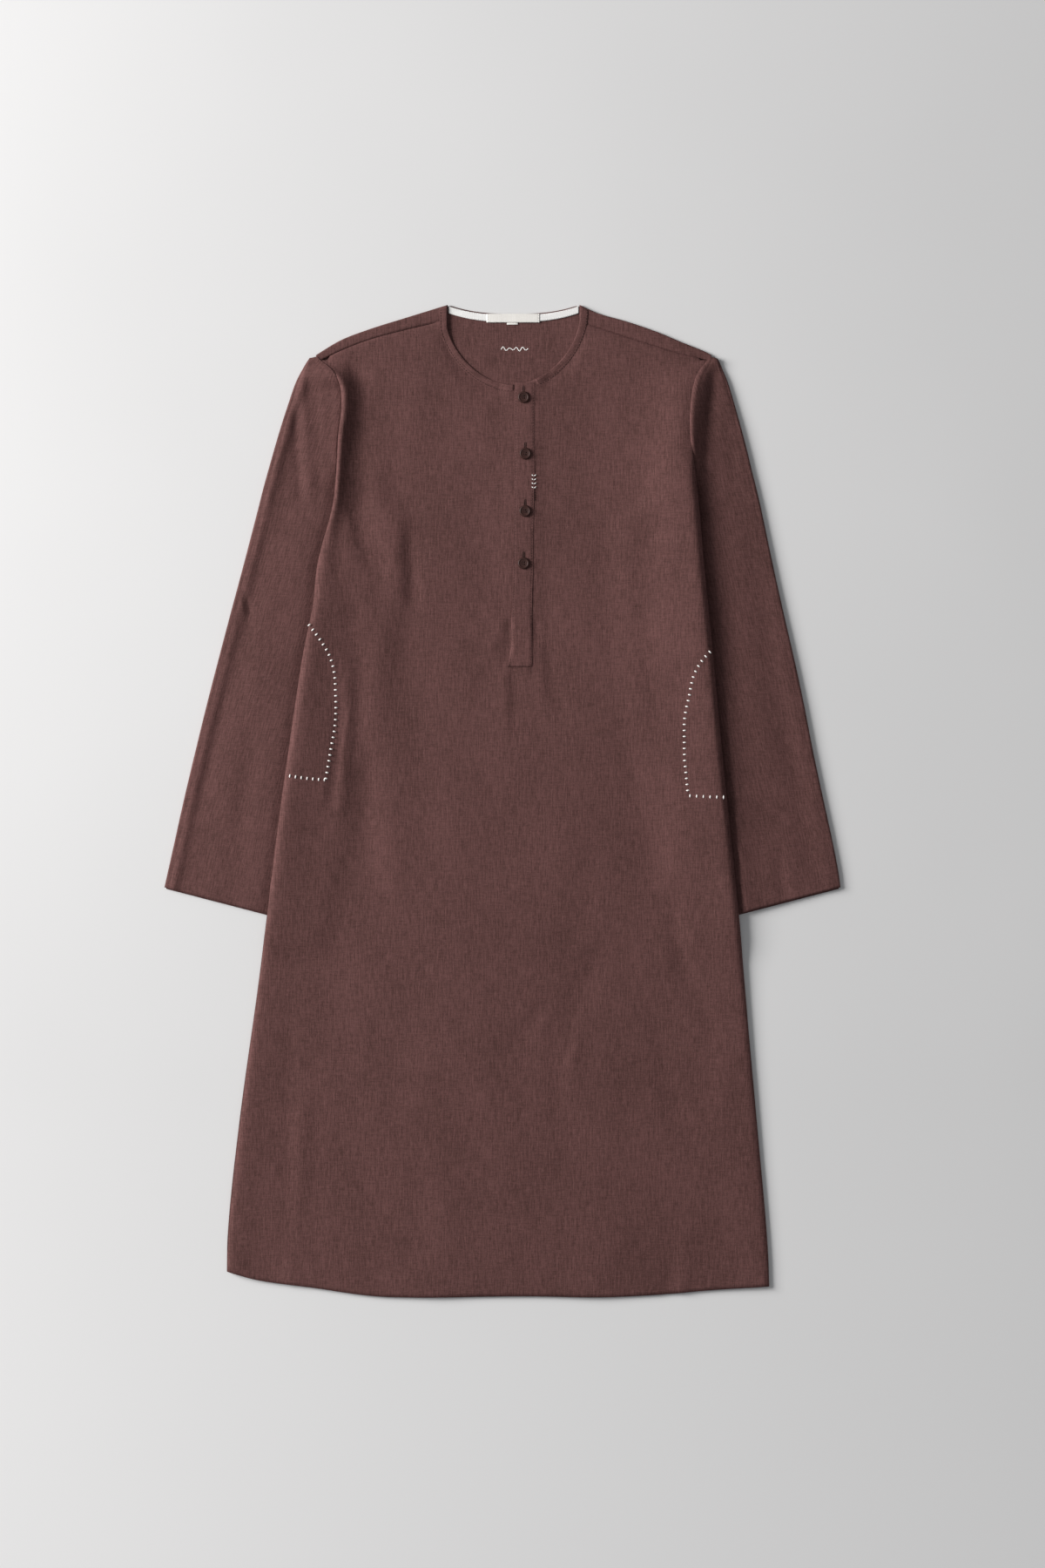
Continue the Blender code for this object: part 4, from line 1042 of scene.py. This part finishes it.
def makeButtonMesh():
    look = buttonLook
    shape = bmesh.new()
    verts = [shape.verts.new((across * look["radius"] * mm, 0.0, up * look["thickness"] * mm))
             for across, up in look["profile"]]
    edges = [shape.edges.new(pair) for pair in zip(verts, verts[1:])]
    bmesh.ops.spin(shape, geom=verts + edges, cent=(0, 0, 0), axis=(0, 0, 1), angle=math.tau,
                   steps=look["steps"], use_merge=True)
    bmesh.ops.remove_doubles(shape, verts=shape.verts, dist=1e-6)
    bmesh.ops.recalc_face_normals(shape, faces=shape.faces)
    body = addObject("buttonBody", toMesh("buttonBody", shape))
    holes, holeRadius = bmesh.new(), look["hole"] * mm
    for sideX, sideY in ((-1, -1), (-1, 1), (1, -1), (1, 1)):
        made = bmesh.ops.create_cone(holes, cap_ends=True, segments=look["holeSteps"], radius1=holeRadius,
                                     radius2=holeRadius, depth=look["cutDepth"] * mm)
        bmesh.ops.translate(holes, verts=made["verts"], vec=Vector((sideX, sideY, 0.0)) * look["holeAt"] * mm)
    cutter = addObject("buttonHoles", toMesh("buttonHoles", holes))
    cut = body.modifiers.new("holes", "BOOLEAN")
    cut.object = cutter
    cut.operation = "DIFFERENCE"
    bpy.context.view_layer.update()
    result = bpy.data.meshes.new_from_object(body.evaluated_get(bpy.context.evaluated_depsgraph_get()))
    bpy.data.objects.remove(body, do_unlink=True)
    bpy.data.objects.remove(cutter, do_unlink=True)
    return result


def makeButtons():
    cutBody = makeButtonMesh()
    for number, (x, y, turned) in enumerate(buttonRows, start=1):
        shape = bmesh.new()
        shape.from_mesh(cutBody)
        spun = Matrix.Rotation(math.radians(turned), 3, "Z")
        bmesh.ops.rotate(shape, verts=shape.verts, cent=(0, 0, 0), matrix=spun)
        bmesh.ops.translate(shape, verts=shape.verts, vec=Vector((x, y, buttonBase)) * mm)
        piece = finishMesh(f"button{number}", shape, darkHorn)
        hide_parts(f"button_{number}")


makeButtons()
print("buttons made")

# ---- stitching ----

stitchLook = {  # length, radius, step
    "pocket": (4, 0.8, 6.45), "seam": (2.1, 0.26, 2.9), "tape": (1.6, 0.22, 2.4), "stem": (2.6, 0.45, 2.4),
    "wave": (2, 0.55, 1.5), "leaf": (2.9, 0.5, 0),
}
beadLook = {"columns": 8, "rows": 7, "lift": 0.3, "sink": 1.1}
pocketLines = {
    "pocketLeft": (
        ((-205.4, 187.2), (-194.1, 171.9), (-183.9, 154.3), (-178.9, 135.8), (-177.6, 115.2), (-177.4, 96.1),
         (-178.8, 77), (-182.3, 57.1), (-185.8, 36.4), (-188, 24)),
        ((-189.5, 22.6), (-199, 23.2), (-212.2, 24.6), (-226, 26.6))),
    "pocketRight": (
        ((220.4, 158.1), (212.3, 148.9), (204.8, 136), (201.3, 124.3), (198.9, 111.1), (195.9, 98.4),
         (193.9, 83.8), (193.9, 64), (194.1, 44.9), (195.5, 30.8), (197.3, 11.3)),
        ((199.6, 5.6), (218.6, 4.5), (235, 4))),
}


def above(rise):  # the cloth's upper surface and a little more
    return lambda x, y: frontHeight(np.asarray(x, float), np.asarray(y, float)) + form["wall"] / 2 + rise


def makeBead(shape, middle, direction, length, radius):  # one stitch: a long rounded bead, its ends pulled in
    columns, rows = beadLook["columns"], beadLook["rows"]
    made = bmesh.ops.create_uvsphere(shape, u_segments=columns, v_segments=rows, radius=1.0)
    turned = Vector((*direction, 0.0)).to_track_quat("Z", "X").to_matrix()
    for vert in made["verts"]:
        sunk = beadLook["sink"] * radius * abs(vert.co.z) ** 3
        place = turned @ Vector((vert.co.x * radius, vert.co.y * radius, vert.co.z * length / 2))
        vert.co = (place + Vector(middle) - Vector((0.0, 0.0, sunk))) * mm


def stitchPiece(name, stitches, material, radius):  # a stitch is x, y, surface z, direction, length
    shape = bmesh.new()
    for x, y, z, runX, runY, length in stitches:
        makeBead(shape, (x, y, z + radius * beadLook["lift"]), (runX, runY), length, radius)
    grain = shape.loops.layers.uv.new("grain")
    for face in shape.faces:
        for loop in face.loops:
            loop[grain].uv = (loop.vert.co.x, loop.vert.co.y)
    return finishMesh(name, shape, cloths[material])


def along(path, kind, zOf, crosswise=False, offset=0.0):
    length, _, step = stitchLook[kind]
    places = resample(np.array(path, float), step)
    normal = leftOf(places)
    places = places + normal * offset
    run = normal if crosswise else np.stack([normal[:, 1], -normal[:, 0]], -1)
    return [(px, py, float(zOf(px, py)), rx, ry, length) for (px, py), (rx, ry) in zip(places, run)]


def smoothPath(points):
    rows = [(number, *point) for number, point in enumerate(points)]
    fine = np.linspace(0.0, len(rows) - 1.0, 12 * len(rows))
    return np.stack([onCurve(rows, 1, fine), onCurve(rows, 2, fine)], -1)


def makePocketStitches():
    for name, lines in pocketLines.items():
        stitches = []
        for line in lines:
            stitches += along(smoothPath(line), "pocket", above(0.0), crosswise=True)
        stitchPiece(name + "Stitches", stitches, "whiteThread", stitchLook["pocket"][1])


seamLook = {
    "endGap": 2, "topGap": 8, "across": (1.8, 54), "inset": 1.6, "onBand": -0.3, "onBinding": 0.2,
    "onTape": 0.35, "tapeEnd": 2, "tapeLines": (1.9, 7.8), "labelInset": 1, "labelEnd": 0.8, "onLabel": 0.5,
}


def makeSeamStitches():
    look, stitches = seamLook, []
    onBand = above(bandLook["rise"] + look["onBand"])
    ys = np.linspace(bandLook["bottom"] + look["endGap"], bandLook["top"] - look["topGap"], 40)
    edges = ((1, 1.0), (2, -1.0))
    for column, turn in edges:
        line = np.stack([onCurve(bandRows, column, ys) + turn * bandLook["grooveAt"], ys], -1)
        stitches += along(line, "seam", onBand)
    for rise in look["across"]:
        y = bandLook["bottom"] + rise
        ends = [(float(onCurve(bandRows, column, y)) + turn * look["inset"], y) for column, turn in edges]
        stitches += along(ends, "seam", onBand)
    stitchPiece("placketStitches", stitches, "brownThread", stitchLook["seam"][1])
    stitches = []
    for side in (-1, 1):
        offset = side * bindingLook["grooveAt"]
        stitches += along(bindingPath(side)[3:], "seam", above(look["onBinding"]), offset=offset)
    stitchPiece("bindingStitches", stitches, "brownThread", stitchLook["seam"][1])


def makeTrimStitches():
    look, stitches = seamLook, []
    z = halfWall + layer + look["onTape"]
    x = np.linspace(neck["left"] + look["tapeEnd"], neck["right"] - look["tapeEnd"], 90)
    for drop in look["tapeLines"]:
        stitches += along(np.stack([x, backNeckY(x) - drop], -1), "tape", lambda px, py: z)
    midX, midY, width, tall = trimRows["neckLabel"][:4]
    reach = tall / 2 - look["labelEnd"]
    for side in (-1, 1):
        edge = midX + side * (width / 2 - look["labelInset"])
        line = [(edge, midY - reach), (edge, midY + reach)]
        stitches += along(line, "tape", lambda px, py: z + look["onLabel"])
    stitchPiece("trimStitches", stitches, "whiteThread", stitchLook["tape"][1])


motifLook = {
    "x": 33.6, "leafLow": 334.4, "leafHigh": 347.2, "leaves": 4, "spread": 1.35, "leafRun": (0.8, 0.55),
    "onLeaf": -0.2, "stemLow": 321.5, "stemHigh": 332, "onStem": -0.1, "waveStart": -1, "waveEnd": 27,
    "waveY": 482.5, "waveTall": 2.2, "waveLength": 7, "swell": (0.7, 0.3, 3),
}


def makeMotifs():
    look = motifLook
    x, (runX, runY) = look["x"], look["leafRun"]
    length, radius = stitchLook["leaf"][:2]
    onBand = above(bandLook["rise"])
    leaves = [(x + side * look["spread"], y, float(onBand(x, y)) + look["onLeaf"], side * runX, runY, length)
              for y in np.linspace(look["leafLow"], look["leafHigh"], look["leaves"]) for side in (-1, 1)]
    stitchPiece("sprigLeaves", leaves, "whiteThread", radius)
    onStem = above(bandLook["rise"] + look["onStem"])
    stem = along([(x, look["stemLow"]), (x, look["stemHigh"])], "stem", onStem)
    stitchPiece("sprigStem", stem, "brownThread", stitchLook["stem"][1])
    start, base, span, slow = look["waveStart"], *look["swell"]
    xs = np.linspace(start, look["waveEnd"], 200)
    tall = look["waveTall"] * (base + span * np.cos(xs / slow))
    path = np.stack([xs, look["waveY"] + tall * np.sin((xs - start) * math.tau / look["waveLength"])], -1)
    stitches = along(path, "wave", lambda px, py: halfWall + form["wall"] / 2)
    stitchPiece("innerMotif", stitches, "whiteThread", stitchLook["wave"][1])


holeLook = {
    "low": 5, "high": 11.8, "step": 0.62, "aside": 0.75, "rise": 0.05, "length": 1.35, "barLow": 0.4,
    "barHigh": 0.2, "bar": 2.8, "levelAt": 300, "threadApart": 0.25, "threadRise": 0.15, "threadPast": 0.9,
    "radius": 0.3,
}


def makeButtonholes():
    look, stitches, threads = holeLook, [], []
    base = float(above(bandLook["rise"])(centreX, look["levelAt"]))
    top = buttonBase + buttonLook["floor"] * buttonLook["thickness"] + look["threadRise"]
    reach = buttonLook["holeAt"]
    for x, y, turned in buttonRows:
        low, high = y + look["low"], y + look["high"]
        for side in (-1, 1):
            stitches += [(x + side * look["aside"], py, base, 1.0, 0.0, look["length"])
                         for py in np.arange(low, high, look["step"])]
        for py in (low - look["barLow"], high + look["barHigh"]):
            stitches.append((x, py, base + look["rise"], 1.0, 0.0, look["bar"]))
        runX, runY = math.cos(math.radians(turned)), math.sin(math.radians(turned))
        for side in (-1, 1):
            for shift in (-look["threadApart"], look["threadApart"]):
                threads.append((x - side * reach * runY, y + side * reach * runX + shift, top, runX, runY,
                                2 * reach + look["threadPast"]))
    stitchPiece("buttonholeStitches", stitches, "darkThread", look["radius"])
    stitchPiece("buttonThreads", threads, "darkThread", look["radius"])


makePocketStitches()
makeSeamStitches()
makeTrimStitches()
makeMotifs()
makeButtonholes()
print("stitches made")
